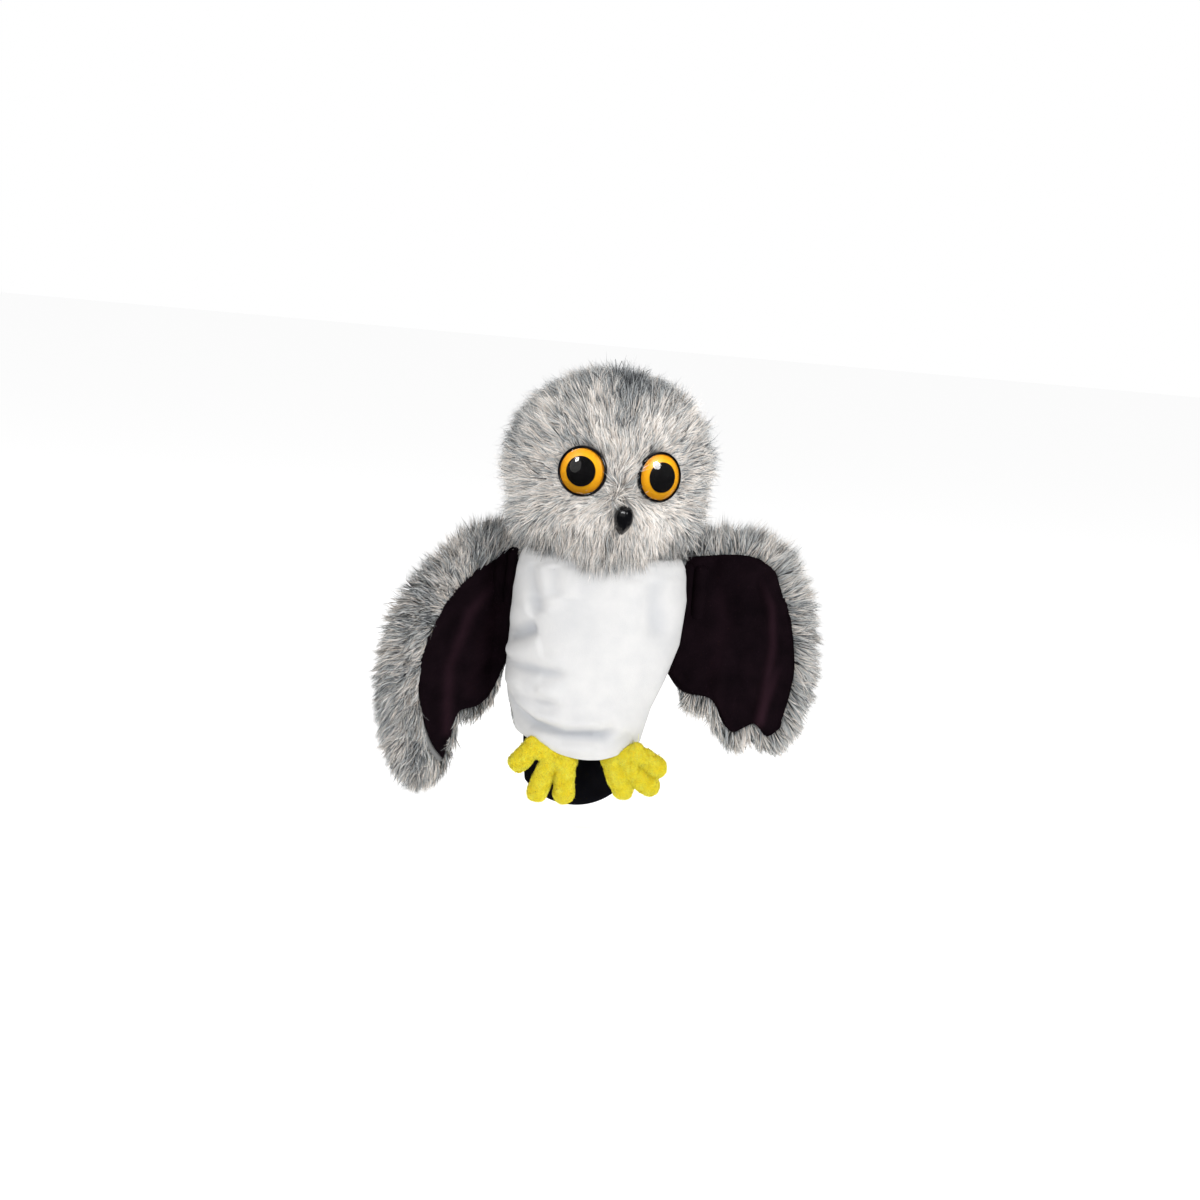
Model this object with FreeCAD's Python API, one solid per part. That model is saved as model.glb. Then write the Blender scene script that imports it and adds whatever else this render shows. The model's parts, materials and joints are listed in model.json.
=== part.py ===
import FreeCAD, Part
import math
import os
from FreeCAD import Vector

# Plush owl glove puppet. Millimetres, +Z up, the face looks along -Y.
# The origin is the centre of the hand opening, level with the lowest point of the front hem.

os.makedirs("parts", exist_ok=True)

# ---- driving dimensions ----
# torso sleeve: height of each section, its middle to one side, half width and half depth of its outer cloth
torsoSections = [
    (-2.0, -1.0, 34.0, 25.0),
    (15.0, -4.5, 39.5, 28.0),
    (34.0, -6.0, 45.5, 31.5),
    (52.0, -4.0, 50.5, 35.0),
    (76.0, 0.0, 54.0, 38.0),
    (104.0, 1.0, 55.0, 38.5),
    (136.0, 1.0, 50.5, 37.0),
]
clothThickness = 2.0        # short-pile front cloth
liningThickness = 1.4       # black lining cloth
furThickness = 4.5          # backing and packed pile of the grey fur on the torso
hemRadius = 58.0            # curve of the front hem
rearHemHeight = 15.0        # straight hem at the back
topWall = 3.4               # cloth and lining under the head

# head on its neck
neckHeight = 122.0          # centre of the neck, where the head turns and nods
headOffset = 61.0           # neck centre to head centre
headRadius = 58.0           # head with its packed pile
headPile = 8.0              # fur panels, backing and packed pile
headTilt = 18.0             # largest lean of the head in any direction, degrees
headYaw = 8.5              # the head looks this far to +X at rest, degrees
sweepGap = 1.0              # head to torso over the whole lean
cupRadius = 30.0            # hollow under the head
collarRadius = 29.4         # neck collar, outside
neckCloth = 3.0             # thickness of the collar and of the neck lining
neckGap = 0.6               # collar to lining, and collar to the torso
fingerRadius = 11.0         # finger sleeve in the head, inside
fingerWall = 1.5
fingerDepth = 52.0          # finger sleeve, from the cup up
crownHalf = 13.0            # half width of the crown gusset at its lower end
crownFlare = 0.45           # its widening with height
chinDrop = 30.0             # head centre to the seam above the chin
panelSplit = 9.0            # seam between the face and the back of the head

# face
eyeAngle = 25.5             # each eye, to the side of the face's middle
eyeRadius = 14.4            # amber disc
eyeRimWidth = 1.5
pupilRadius = 9.2
eyeInset = 4.4              # back of the eye, under the surface of the head
eyeBase = 2.6               # thickness of the black backing disc
irisThickness = 1.4
pupilThickness = 0.6
domeHeight = 4.2            # clear dome over iris and pupil
shankRadius = 2.4
shankLength = 11.0
washerRadius = 8.0
washerThickness = 1.6
beakDown = 27.5             # beak below the eye line, degrees
beakAside = 4.0             # the beak sits slightly to +X, degrees
beakLength = 20.0
beakWidth = 12.0

# wings
wingAxisX = 63.5            # upright axis where a wing joins the side of the torso
wingY = 8.0
sleeveRadius = 5.0          # rolled seam that carries the wing
sleeveLow = 90.0
sleeveHigh = 128.0
sleeveWall = 1.4            # lining cloth over the seam roll
liftOut = 14.0              # lift axis, out from the upright axis
liftHeight = 125.0
liftKnuckle = 8.0           # rounded inner top corner of a wing about its lift axis
liftSlack = 4.5             # a wing can hang this much lower, degrees, before it meets its seam roll
wingLining = 1.4
wingPad = 2.2
wingFur = 5.4
furOverhang = 5.0           # fur past the edge of the lining
padInset = 1.5              # padding stops this far inside the lining's edge
leftFold = 38.0             # the left wing is folded this far forward at rest, degrees
# lining outlines: distance out from the upright axis, and height
rightWingEdge = [
    (14, 132), (30, 133), (46, 127), (58, 108), (64, 84), (66, 60), (62, 38),
    (52, 20), (40, 26), (28, 19), (18, 36), (10, 44), (1, 52), (4, 72), (9.5, 92), (7, 117),
]
leftWingEdge = [
    (14, 132), (26, 126), (40, 111), (56, 88), (66, 64), (70, 42), (62, 14),
    (46, -9), (32, -8), (24, 14), (12, 20), (9, 34), (9.5, 60), (10, 84), (9.5, 100), (7, 117),
]

# feet: each hangs from a seam just under the front hem
footSkin = 1.2
toeRadius = 7.0
footGap = 0.8               # hem to foot
footInset = 3.0             # middle of the foot behind the front cloth's outer face
leftFoot = {"side": -1, "hem": 20.0, "spread": 8.0,
            "toes": [(9.0, 62.0, 11.0), (0.0, 12.0, 19.0), (-8.0, -15.0, 16.5)]}
rightFoot = {"side": 1, "hem": 22.5, "spread": 8.0,
             "toes": [(9.0, 84.0, 12.5), (0.0, 57.0, 19.5), (-8.0, 33.0, 14.0)]}

# tail flap
tailRadius = 40.0           # curve of the lower edge
tailDrop = 35.0             # lowest point below the origin
tailHalf = 34.0
tailAside = -6.0            # middle of the tail, to one side
tailY = 22.0
tailCloth = 1.2
tailThickness = 7.0
tailGap = 2.0               # back hem to the tail's seam roll

# ---- shared geometry ----
origin = Vector(0, 0, 0)
upwards = Vector(0, 0, 1)
neckPoint = Vector(0, 0, neckHeight)
headPoint = Vector(0, 0, neckHeight + headOffset)
eyeBack = headRadius - eyeInset   # head centre to the back of the eye
farAway = 400.0


def save(name, shape):
    shape = shape.removeSplitter()
    solids = shape.Solids
    if len(solids) != 1:
        print("WARNING", name, "has", len(solids), "solids")
    solids[0].exportStep("parts/" + name + ".step")


def block(x0, x1, y0, y1, z0, z1):
    return Part.makeBox(x1 - x0, y1 - y0, z1 - z0, Vector(x0, y0, z0))


def ball(radius, centre):
    return Part.makeSphere(radius, centre)


def turned(shape, centre, axis, angle):
    copy = shape.copy()
    copy.rotate(centre, axis, angle)
    return copy


# ---- torso ----
def torsoSolid(grow):
    """Closed body of the sleeve, with its outer cloth grown by this much."""
    wires = []
    for height, aside, halfWidth, halfDepth in torsoSections:
        ring = Part.Ellipse(Vector(aside, 0, height), halfWidth + grow, halfDepth + grow)
        wires.append(Part.Wire(ring.toShape()))
    return Part.makeLoft(wires, True)


def headSweep(gap):
    """The space the head takes over every lean, grown by the gap."""
    radius = headRadius + gap
    lean = math.radians(headTilt)
    aside = headOffset * math.sin(lean)
    height = neckHeight + headOffset * math.cos(lean)
    low = Vector(aside, 0, height - radius)
    high = Vector(aside, 0, height + radius)
    arc = Part.Arc(low, Vector(aside + radius, 0, height), high).toShape()
    axisHigh = Vector(0, 0, height + radius)
    axisLow = Vector(0, 0, height - radius)
    edges = [arc, Part.makeLine(high, axisHigh), Part.makeLine(axisHigh, axisLow), Part.makeLine(axisLow, low)]
    return Part.Face(Part.Wire(edges)).revolve(origin, upwards, 360)


def hemCut():
    """Everything below the curved front hem and the straight back hem."""
    front = block(-farAway, farAway, -farAway, 0, -farAway, hemRadius)
    arch = Part.makeCylinder(hemRadius, 2 * farAway, Vector(0, -farAway, hemRadius), Vector(0, 1, 0))
    rear = block(-farAway, farAway, 0, farAway, -farAway, rearHemHeight)
    lowFront = block(-farAway, farAway, -farAway, 0, -farAway, rearHemHeight)
    return front.cut(arch).common(lowFront).fuse(rear)


def torsoLayer(outerGrow, innerGrow, topGap, innerTopGap):
    outer = torsoSolid(outerGrow).cut(headSweep(topGap))
    inner = torsoSolid(innerGrow).cut(headSweep(innerTopGap))
    layer = outer.cut(inner)
    layer = layer.cut(ball(collarRadius + neckGap, neckPoint))
    return layer.cut(hemCut())


def makeTorso():
    front = block(-farAway, farAway, -farAway, 0, -farAway, farAway)
    rear = block(-farAway, farAway, 0, farAway, -farAway, farAway)
    skinTop = sweepGap + topWall - liningThickness
    skin = torsoLayer(0, -clothThickness, sweepGap, skinTop)
    save("belly_panel", skin.common(front))
    furGrow = furThickness - clothThickness
    save("back_panel", torsoLayer(furGrow, -clothThickness, sweepGap, skinTop).common(rear))
    lining = torsoLayer(-clothThickness, -clothThickness - liningThickness, skinTop, sweepGap + topWall)
    save("lining_front", lining.common(front))
    save("lining_back", lining.common(rear))


# ---- neck ----
def neckZone(outer, topAngle, bottomAngle):
    """Part of a hollow ball about the neck centre, between two cones from its middle."""
    inner = outer - neckCloth
    points = []
    for radius, angle in ((inner, topAngle), (outer, topAngle), (outer, bottomAngle), (inner, bottomAngle)):
        points.append(zonePoint(radius, angle))
    middle = (topAngle + bottomAngle) / 2
    edges = [
        Part.makeLine(points[0], points[1]),
        Part.Arc(points[1], zonePoint(outer, middle), points[2]).toShape(),
        Part.makeLine(points[2], points[3]),
        Part.Arc(points[3], zonePoint(inner, middle), points[0]).toShape(),
    ]
    return Part.Face(Part.Wire(edges)).revolve(neckPoint, upwards, 360)


def zonePoint(radius, angle):
    """A point this far from the neck centre, at this angle down from straight up."""
    slant = math.radians(angle)
    return neckPoint + Vector(radius * math.sin(slant), 0, radius * math.cos(slant))


def makeNeck():
    liningRadius = collarRadius - neckCloth - neckGap
    save("neck_collar", neckZone(collarRadius, 52, 122))
    save("neck_lining", neckZone(liningRadius, 38, 124))


# ---- head ----
def headFrame(shape):
    return turned(shape, headPoint, upwards, headYaw)


def aimed(shape, aside, down):
    """Turns a piece made along -Y from the head centre to one side and down."""
    shape = turned(shape, headPoint, Vector(1, 0, 0), down)
    return turned(shape, headPoint, upwards, aside)


def rod(radius, near, far):
    """Round bar along -Y, between two distances from the head centre."""
    start = headPoint - Vector(0, near, 0)
    return Part.makeCylinder(radius, far - near, start, Vector(0, -1, 0))


def eyeParts():
    """The five plastic pieces of one eye, looking along -Y."""
    rimRadius = eyeRadius + eyeRimWidth
    irisFrom = eyeBack + eyeBase
    pupilFrom = irisFrom + irisThickness
    backing = rod(rimRadius, eyeBack, irisFrom)
    lip = rod(rimRadius, irisFrom, pupilFrom).cut(rod(eyeRadius, irisFrom, pupilFrom))
    shank = rod(shankRadius, eyeBack - shankLength, eyeBack)
    rim = backing.fuse(lip).fuse(shank)
    iris = rod(eyeRadius, irisFrom, pupilFrom)
    pupil = rod(pupilRadius, pupilFrom, pupilFrom + pupilThickness)
    # a cap whose edge sits on the iris and whose top is one dome height further out
    domeRadius = (eyeRadius ** 2 + domeHeight ** 2) / (2 * domeHeight)
    domeCentre = headPoint - Vector(0, pupilFrom + domeHeight - domeRadius, 0)
    dome = ball(domeRadius, domeCentre).common(rod(eyeRadius, pupilFrom, pupilFrom + domeHeight + 1))
    dome = dome.cut(pupil)
    washerFrom = headRadius - headPile - 2 * washerThickness
    washer = rod(washerRadius, washerFrom, washerFrom + washerThickness).cut(shank)
    return {"backing": rim, "iris": iris, "pupil": pupil, "dome": dome, "washer": washer}


def beakParts():
    """The beak hangs its tip down along the face, with a shank and a washer behind."""
    radius = beakWidth / 2
    top = Vector(0, 0, beakLength * 0.45)
    tip = Vector(0, 0, -beakLength * 0.55)
    side = [top, Vector(radius * 0.75, 0, beakLength * 0.36), Vector(radius, 0, beakLength * 0.12),
            Vector(radius * 0.8, 0, -beakLength * 0.22), Vector(radius * 0.42, 0, -beakLength * 0.47), tip]
    curve = Part.BSplineCurve()
    curve.interpolate(side)
    half = Part.Face(Part.Wire([curve.toShape(), Part.makeLine(tip, top)]))
    beak = half.revolve(origin, upwards, 360)
    beak.translate(headPoint - Vector(0, headRadius + radius * 0.35, 0))
    shank = rod(shankRadius, headRadius - shankLength - 2, headRadius)
    washerFrom = headRadius - headPile - 2 * washerThickness
    washer = rod(washerRadius * 0.7, washerFrom, washerFrom + washerThickness).cut(shank)
    return {"beak": beak.fuse(shank), "beak_washer": washer}


def crownWedge():
    """The gusset over the forehead, widening upwards."""
    low = headPoint.z + 8
    high = headPoint.z + headRadius + 5
    topHalf = crownHalf + crownFlare * (high - low)
    corners = [Vector(-crownHalf, 0, low), Vector(crownHalf, 0, low), Vector(topHalf, 0, high),
               Vector(-topHalf, 0, high), Vector(-crownHalf, 0, low)]
    face = Part.Face(Part.makePolygon(corners))
    wedge = face.extrude(Vector(0, -farAway, 0))
    wedge.translate(Vector(0, panelSplit, 0))
    return wedge


def makeHead():
    left = {name: aimed(piece, -eyeAngle, 0) for name, piece in eyeParts().items()}
    right = {name: aimed(piece, eyeAngle, 0) for name, piece in eyeParts().items()}
    beak = {name: aimed(piece, beakAside, beakDown) for name, piece in beakParts().items()}
    for pieces, prefix in ((left, "eye_left_"), (right, "eye_right_"), (beak, "")):
        for name, piece in pieces.items():
            save(prefix + name, headFrame(piece))
    cup = ball(cupRadius, neckPoint)
    skinRadius = headRadius - headPile
    shell = ball(headRadius, headPoint).cut(ball(skinRadius, headPoint)).cut(cup)
    stuffing = ball(skinRadius, headPoint).cut(cup)
    for pieces in (left, right):
        solid = pieces["backing"].fuse(pieces["washer"])
        shell = shell.cut(solid).cut(pieces["iris"]).cut(pieces["dome"]).cut(pieces["pupil"])
        stuffing = stuffing.cut(solid)
    beakSolid = beak["beak"].fuse(beak["beak_washer"])
    shell = shell.cut(beakSolid)
    stuffing = stuffing.cut(beakSolid)
    tubeLow = neckHeight + math.sqrt(cupRadius ** 2 - (fingerRadius + fingerWall) ** 2) - 4
    tubeTop = neckHeight + cupRadius + fingerDepth
    tube = Part.makeCylinder(fingerRadius + fingerWall, tubeTop + fingerWall - tubeLow, Vector(0, 0, tubeLow))
    stuffing = stuffing.cut(tube)
    shell = shell.cut(tube)
    bore = Part.makeCylinder(fingerRadius, tubeTop - tubeLow, Vector(0, 0, tubeLow))
    save("finger_sleeve", tube.cut(bore).cut(cup))
    save("head_stuffing", headFrame(stuffing))
    zHead = headPoint.z
    rear = block(-farAway, farAway, panelSplit, farAway, -farAway, farAway)
    front = block(-farAway, farAway, -farAway, panelSplit, -farAway, farAway)
    below = block(-farAway, farAway, -farAway, farAway, -farAway, zHead - chinDrop)
    leftSide = block(-farAway, 0, -farAway, farAway, -farAway, farAway)
    face = shell.common(front)
    save("head_fur_back", headFrame(shell.common(rear)))
    save("head_fur_chin", headFrame(face.common(below)))
    face = face.cut(below)
    wedge = crownWedge()
    save("head_fur_crown", headFrame(face.common(wedge)))
    face = face.cut(wedge)
    save("head_fur_left", headFrame(face.common(leftSide)))
    save("head_fur_right", headFrame(face.cut(leftSide)))


# ---- wings ----
def smoothLoop(places):
    curve = Part.BSplineCurve()
    curve.interpolate(places, PeriodicFlag=True)
    return curve


def wingOutline(points, side, grow):
    """Closed smooth outline of a wing in its own plane, grown outwards."""
    places = [Vector(side * (wingAxisX + out), wingY, height) for out, height in points]
    curve = smoothLoop(places)
    grown = []
    for place in places:
        run = curve.tangent(curve.parameter(place))[0]
        # the points run outwards along the top edge, so this way is out of the wing
        outwards = Vector(-side * run.z, 0, side * run.x)
        grown.append(place + outwards * grow)
    return Part.Face(Part.Wire(smoothLoop(grown).toShape()))


def wingLayer(points, side, grow, front, back):
    face = wingOutline(points, side, grow)
    layer = face.extrude(Vector(0, back - front, 0))
    layer.translate(Vector(0, front, 0))
    keep = layer.cut(wingInside(side, grow))
    return keep


def wingInside(side, grow):
    """What a wing must keep clear of: the seam roll, and the corner beyond its lift knuckle."""
    reach = liftOut - liftKnuckle
    x0, x1 = sorted((side * (wingAxisX - farAway), side * (wingAxisX + reach)))
    inner = block(x0, x1, -farAway, farAway, sleeveLow - 4, farAway)
    x0, x1 = sorted((side * (wingAxisX - farAway), side * (wingAxisX + liftOut)))
    corner = block(x0, x1, -farAway, farAway, liftHeight, farAway)
    axisStart = Vector(side * (wingAxisX + liftOut), -farAway, liftHeight)
    # leaning, so that the wing's inner edge stays off the roll when the wing hangs lower
    inner = turned(inner, axisStart, Vector(0, 1, 0), -side * liftSlack)
    knuckle = Part.makeCylinder(liftKnuckle, 2 * farAway, axisStart, Vector(0, 1, 0))
    return inner.fuse(corner.cut(knuckle))


def makeWing(label, side, points, fold):
    total = wingLining + wingPad + wingFur
    front = -total / 2
    axisPoint = Vector(side * wingAxisX, wingY, 0)
    layers = {
        "lining": wingLayer(points, side, 0, front, front + wingLining),
        "padding": wingLayer(points, side, -padInset, front + wingLining, front + wingLining + wingPad),
        "fur": wingLayer(points, side, furOverhang, front + wingLining + wingPad, -front),
    }
    roll = Part.makeCylinder(sleeveRadius, sleeveHigh - sleeveLow, Vector(side * wingAxisX, wingY, sleeveLow))
    core = Part.makeCylinder(sleeveRadius - sleeveWall, sleeveHigh - sleeveLow,
                             Vector(side * wingAxisX, wingY, sleeveLow))
    rear = block(-farAway, farAway, wingY, farAway, -farAway, farAway)
    layers["seam_roll"] = core
    layers["seam_fur"] = roll.cut(core).common(rear)
    layers["seam_lining"] = roll.cut(core).cut(rear)
    for name, layer in layers.items():
        save("wing_" + label + "_" + name, turned(layer, axisPoint, upwards, -side * fold))


# ---- feet ----
def hemHeight(x):
    return hemRadius - math.sqrt(hemRadius ** 2 - x ** 2)


def hemFrontY(x):
    """Where the front cloth stands at the hem, at this distance aside."""
    low, high = torsoSections[0], torsoSections[1]
    share = (hemHeight(x) - low[0]) / (high[0] - low[0])
    aside, halfWidth, halfDepth = (low[i] + share * (high[i] - low[i]) for i in (1, 2, 3))
    return -halfDepth * math.sqrt(1 - ((x - aside) / halfWidth) ** 2)


def footFrame(foot):
    """Seam middle, direction along the seam outwards, and direction straight down from it."""
    side, x = foot["side"], foot["hem"]
    slope = x / math.sqrt(hemRadius ** 2 - x ** 2)
    along = Vector(side, 0, slope).normalize()
    down = Vector(side * slope, 0, -1).normalize()
    start = Vector(side * x, hemFrontY(side * x) + footInset, hemHeight(x))
    return start + down * (toeRadius + footGap), along, down


def capsule(start, end, radius):
    run = end - start
    bar = Part.makeCylinder(radius, run.Length, start, run)
    return bar.fuse(ball(radius, start)).fuse(ball(radius, end))


def footSolid(foot, radius):
    middle, along, down = footFrame(foot)
    reach = foot["spread"]
    solid = capsule(middle - along * reach, middle + along * reach, radius)
    for offset, angle, length in foot["toes"]:
        lean = math.radians(angle)
        base = middle + along * offset
        # the toe's own direction, leaning outwards from straight down
        heading = Vector(foot["side"] * math.sin(lean), 0, -math.cos(lean))
        solid = solid.fuse(capsule(base, base + heading * length, radius))
    return solid


def makeFoot(label, foot):
    middle = footFrame(foot)[0]
    outer = footSolid(foot, toeRadius)
    inner = footSolid(foot, toeRadius - footSkin)
    skin = outer.cut(inner)
    front = block(-farAway, farAway, -farAway, middle.y, -farAway, farAway)
    save("foot_" + label + "_upper", skin.common(front))
    save("foot_" + label + "_sole", skin.cut(front))
    save("foot_" + label + "_stuffing", inner)


# ---- tail ----
def tailSolid(inset):
    """Flap with a rounded lower edge and a seam roll along its top."""
    roll = tailThickness / 2
    axisHeight = rearHemHeight - tailGap - roll
    half = tailHalf - inset
    thickness = tailThickness - 2 * inset
    left, right = tailAside - half, tailAside + half
    top = Part.makeCylinder(roll - inset, right - left, Vector(left, tailY, axisHeight), Vector(1, 0, 0))
    centreHeight = tailRadius - tailDrop
    disc = Part.makeCylinder(tailRadius - inset, thickness,
                             Vector(tailAside, tailY - thickness / 2, centreHeight), Vector(0, 1, 0))
    flap = disc.common(block(left, right, -farAway, farAway, -farAway, axisHeight))
    return flap.fuse(top)


def makeTail():
    outer = tailSolid(0)
    inner = tailSolid(tailCloth)
    skin = outer.cut(inner)
    front = block(-farAway, farAway, -farAway, tailY, -farAway, farAway)
    save("tail_front", skin.common(front))
    save("tail_back", skin.cut(front))
    save("tail_padding", inner)


makeTorso()
makeNeck()
makeHead()
makeWing("left", -1, leftWingEdge, leftFold)
makeWing("right", 1, rightWingEdge, 0.0)
makeFoot("left", leftFoot)
makeFoot("right", rightFoot)
makeTail()
print("parts written")
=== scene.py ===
import json
import math

import bmesh
import bpy
import numpy as np
from mathutils import Matrix, Vector


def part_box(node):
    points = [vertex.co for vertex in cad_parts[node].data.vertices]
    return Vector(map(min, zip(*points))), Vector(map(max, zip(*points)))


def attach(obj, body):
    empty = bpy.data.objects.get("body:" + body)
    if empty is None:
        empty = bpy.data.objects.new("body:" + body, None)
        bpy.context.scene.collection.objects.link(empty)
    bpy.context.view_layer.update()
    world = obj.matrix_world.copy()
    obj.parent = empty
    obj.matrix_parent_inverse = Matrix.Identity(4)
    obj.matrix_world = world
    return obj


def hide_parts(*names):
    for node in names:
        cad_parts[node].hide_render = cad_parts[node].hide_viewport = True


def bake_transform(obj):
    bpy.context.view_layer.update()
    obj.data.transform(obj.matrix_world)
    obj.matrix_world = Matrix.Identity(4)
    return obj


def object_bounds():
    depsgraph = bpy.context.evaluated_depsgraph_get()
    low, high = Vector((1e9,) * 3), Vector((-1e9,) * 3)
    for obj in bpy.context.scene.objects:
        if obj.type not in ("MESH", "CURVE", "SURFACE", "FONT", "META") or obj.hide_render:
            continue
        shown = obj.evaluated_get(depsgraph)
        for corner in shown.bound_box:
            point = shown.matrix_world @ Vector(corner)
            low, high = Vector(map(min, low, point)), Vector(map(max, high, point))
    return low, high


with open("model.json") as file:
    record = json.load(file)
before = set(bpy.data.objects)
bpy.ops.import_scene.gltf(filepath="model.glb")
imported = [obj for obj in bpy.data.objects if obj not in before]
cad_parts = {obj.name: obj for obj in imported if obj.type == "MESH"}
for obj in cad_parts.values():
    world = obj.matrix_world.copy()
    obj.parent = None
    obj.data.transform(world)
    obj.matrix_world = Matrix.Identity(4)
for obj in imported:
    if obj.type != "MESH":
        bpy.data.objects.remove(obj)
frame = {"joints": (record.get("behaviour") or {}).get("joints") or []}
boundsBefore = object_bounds()
sides = {"left": -1, "right": 1}

# what a user would change first
look = {
    "furDensity": 1.0,       # share of the full number of strands
    "leanDeg": 5.0,          # the camera leans this far about its line of sight
    "cameraHeightDeg": 5.0,
    "cameraDistance": 2.6,
    "pictureWidth": 0.758,   # metres across the whole picture
    "target": (0.0014, 0.0, 0.0997),
}


def joint(name):
    return next(j for j in frame["joints"] if j["name"] == name)


neck = Vector(joint("head_turn")["pos_m"])
headYaw = math.atan2(joint("head_nod")["axis"][1], joint("head_nod")["axis"][0])


def centreOf(*nodes):
    lows, highs = zip(*(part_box(n) for n in nodes))
    low = Vector([min(v[i] for v in lows) for i in range(3)])
    high = Vector([max(v[i] for v in highs) for i in range(3)])
    return (low + high) / 2, high - low


headCentre = centreOf("head_stuffing")[0]
headCentre.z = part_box("head_fur_crown")[1][2] - centreOf("head_stuffing")[1].x / 2 - 0.008
headRadius = centreOf("head_stuffing")[1].x / 2 + 0.0025


# small helpers
def fromBmesh(bm, name):
    mesh = bpy.data.meshes.new(name)
    bm.normal_update()
    bm.to_mesh(mesh)
    bm.free()
    piece = bpy.data.objects.new(name, mesh)
    bpy.context.scene.collection.objects.link(piece)
    for face in mesh.polygons:
        face.use_smooth = True
    return piece


def unitGrid(name, columns, rows):
    # a flat sheet from (0, 0) to (1, 1), to be shaped
    bm = bmesh.new()
    corner = Matrix.Translation((0.5, 0.5, 0))
    bmesh.ops.create_grid(bm, x_segments=columns, y_segments=rows, size=0.5, matrix=corner)
    return fromBmesh(bm, name)


def placesOf(piece):
    values = np.empty(len(piece.data.vertices) * 3, np.float32)
    piece.data.vertices.foreach_get("co", values)
    return values.reshape(-1, 3)


def normalsOf(piece):
    values = np.empty(len(piece.data.vertices) * 3, np.float32)
    piece.data.vertices.foreach_get("normal", values)
    return values.reshape(-1, 3)


def setPlaces(piece, places):
    piece.data.vertices.foreach_set("co", np.ascontiguousarray(places, np.float32).ravel())
    piece.data.update()


def setValues(piece, name, values):
    # stores one number or one vector per vertex
    vectors = values.ndim == 2
    kind = "FLOAT_VECTOR" if vectors else "FLOAT"
    layer = piece.data.attributes.new(name, kind, "POINT")
    layer.data.foreach_set("vector" if vectors else "value", np.ascontiguousarray(values, np.float32).ravel())


def valuesOf(piece, name):
    values = np.empty(len(piece.data.vertices), np.float32)
    piece.data.attributes[name].data.foreach_get("value", values)
    return values


def finished(piece):
    # the piece's mesh with its modifiers worked in
    graph = bpy.context.evaluated_depsgraph_get()
    mesh = bpy.data.meshes.new_from_object(piece.evaluated_get(graph), preserve_all_data_layers=True,
                                           depsgraph=graph)
    piece.modifiers.clear()
    old = piece.data
    piece.data = mesh
    mesh.name = piece.name
    if old.users == 0:
        bpy.data.meshes.remove(old)
    return piece


def addModifier(piece, kind, **settings):
    modifier = piece.modifiers.new(kind.lower(), kind)
    for key, value in settings.items():
        setattr(modifier, key, value)
    return modifier


def smoothStep(x, low, high):
    t = np.clip((x - low) / (high - low), 0, 1)
    return t * t * (3 - 2 * t)


def unit(v):
    return v / np.maximum(np.linalg.norm(v, axis=-1, keepdims=True), 1e-9)


def waves(places, size, seed):
    # smooth noise, about -1 to 1, from a few crossing waves of this wavelength
    random = np.random.default_rng(seed)
    total = np.zeros(len(places))
    for _ in range(6):
        way = unit(random.normal(size=3))
        phase = places @ way * (2 * math.pi / size) * random.uniform(0.7, 1.4)
        total += np.sin(phase + random.uniform(0, 6.28))
    return total / 2.6


# node helpers
class Nodes:
    # adds nodes to a tree in one line each
    def __init__(self, tree):
        self.tree = tree

    def add(self, kind, inputs=None, **settings):
        node = self.tree.nodes.new(kind)
        for key, value in settings.items():
            setattr(node, key, value)
        for key, value in (inputs or {}).items():
            socket = node.inputs[key]
            if isinstance(value, bpy.types.NodeSocket):
                self.tree.links.new(value, socket)
            else:
                socket.default_value = value
        return node

    def math(self, operation, a, b=0.0, clamp=False):
        node = self.add("ShaderNodeMath", {0: a, 1: b}, operation=operation)
        node.use_clamp = clamp
        return node.outputs[0]

    def vector(self, operation, a, b=None, scale=None):
        inputs = {0: a}
        if b is not None:
            inputs[1] = b
        if scale is not None:
            inputs["Scale"] = scale
        node = self.add("ShaderNodeVectorMath", inputs, operation=operation)
        return node.outputs["Value" if operation in ("LENGTH", "DOT_PRODUCT") else "Vector"]

    def named(self, name, kind="FLOAT"):
        node = self.add("GeometryNodeInputNamedAttribute", data_type=kind)
        node.inputs["Name"].default_value = name
        return node.outputs["Attribute"]


# fur
furColumns = 64  # shades of strand, each its own column of the fur's texture space


def strandShape():
    # one flat tapering hair: across is -1 to 1 and along is 0 at the root
    bm = bmesh.new()
    bmesh.ops.create_grid(bm, x_segments=1, y_segments=3, size=0.5, matrix=Matrix.Translation((0, 0.5, 0)))
    tip = [v for v in bm.verts if v.co.y > 0.99]
    bmesh.ops.pointmerge(bm, verts=tip, merge_co=(0, 1, 0))
    piece = fromBmesh(bm, "strandShape")
    places = placesOf(piece)
    setValues(piece, "across", places[:, 0] * 2)
    setValues(piece, "along", places[:, 1])
    bpy.context.scene.collection.objects.unlink(piece)
    return piece


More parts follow.
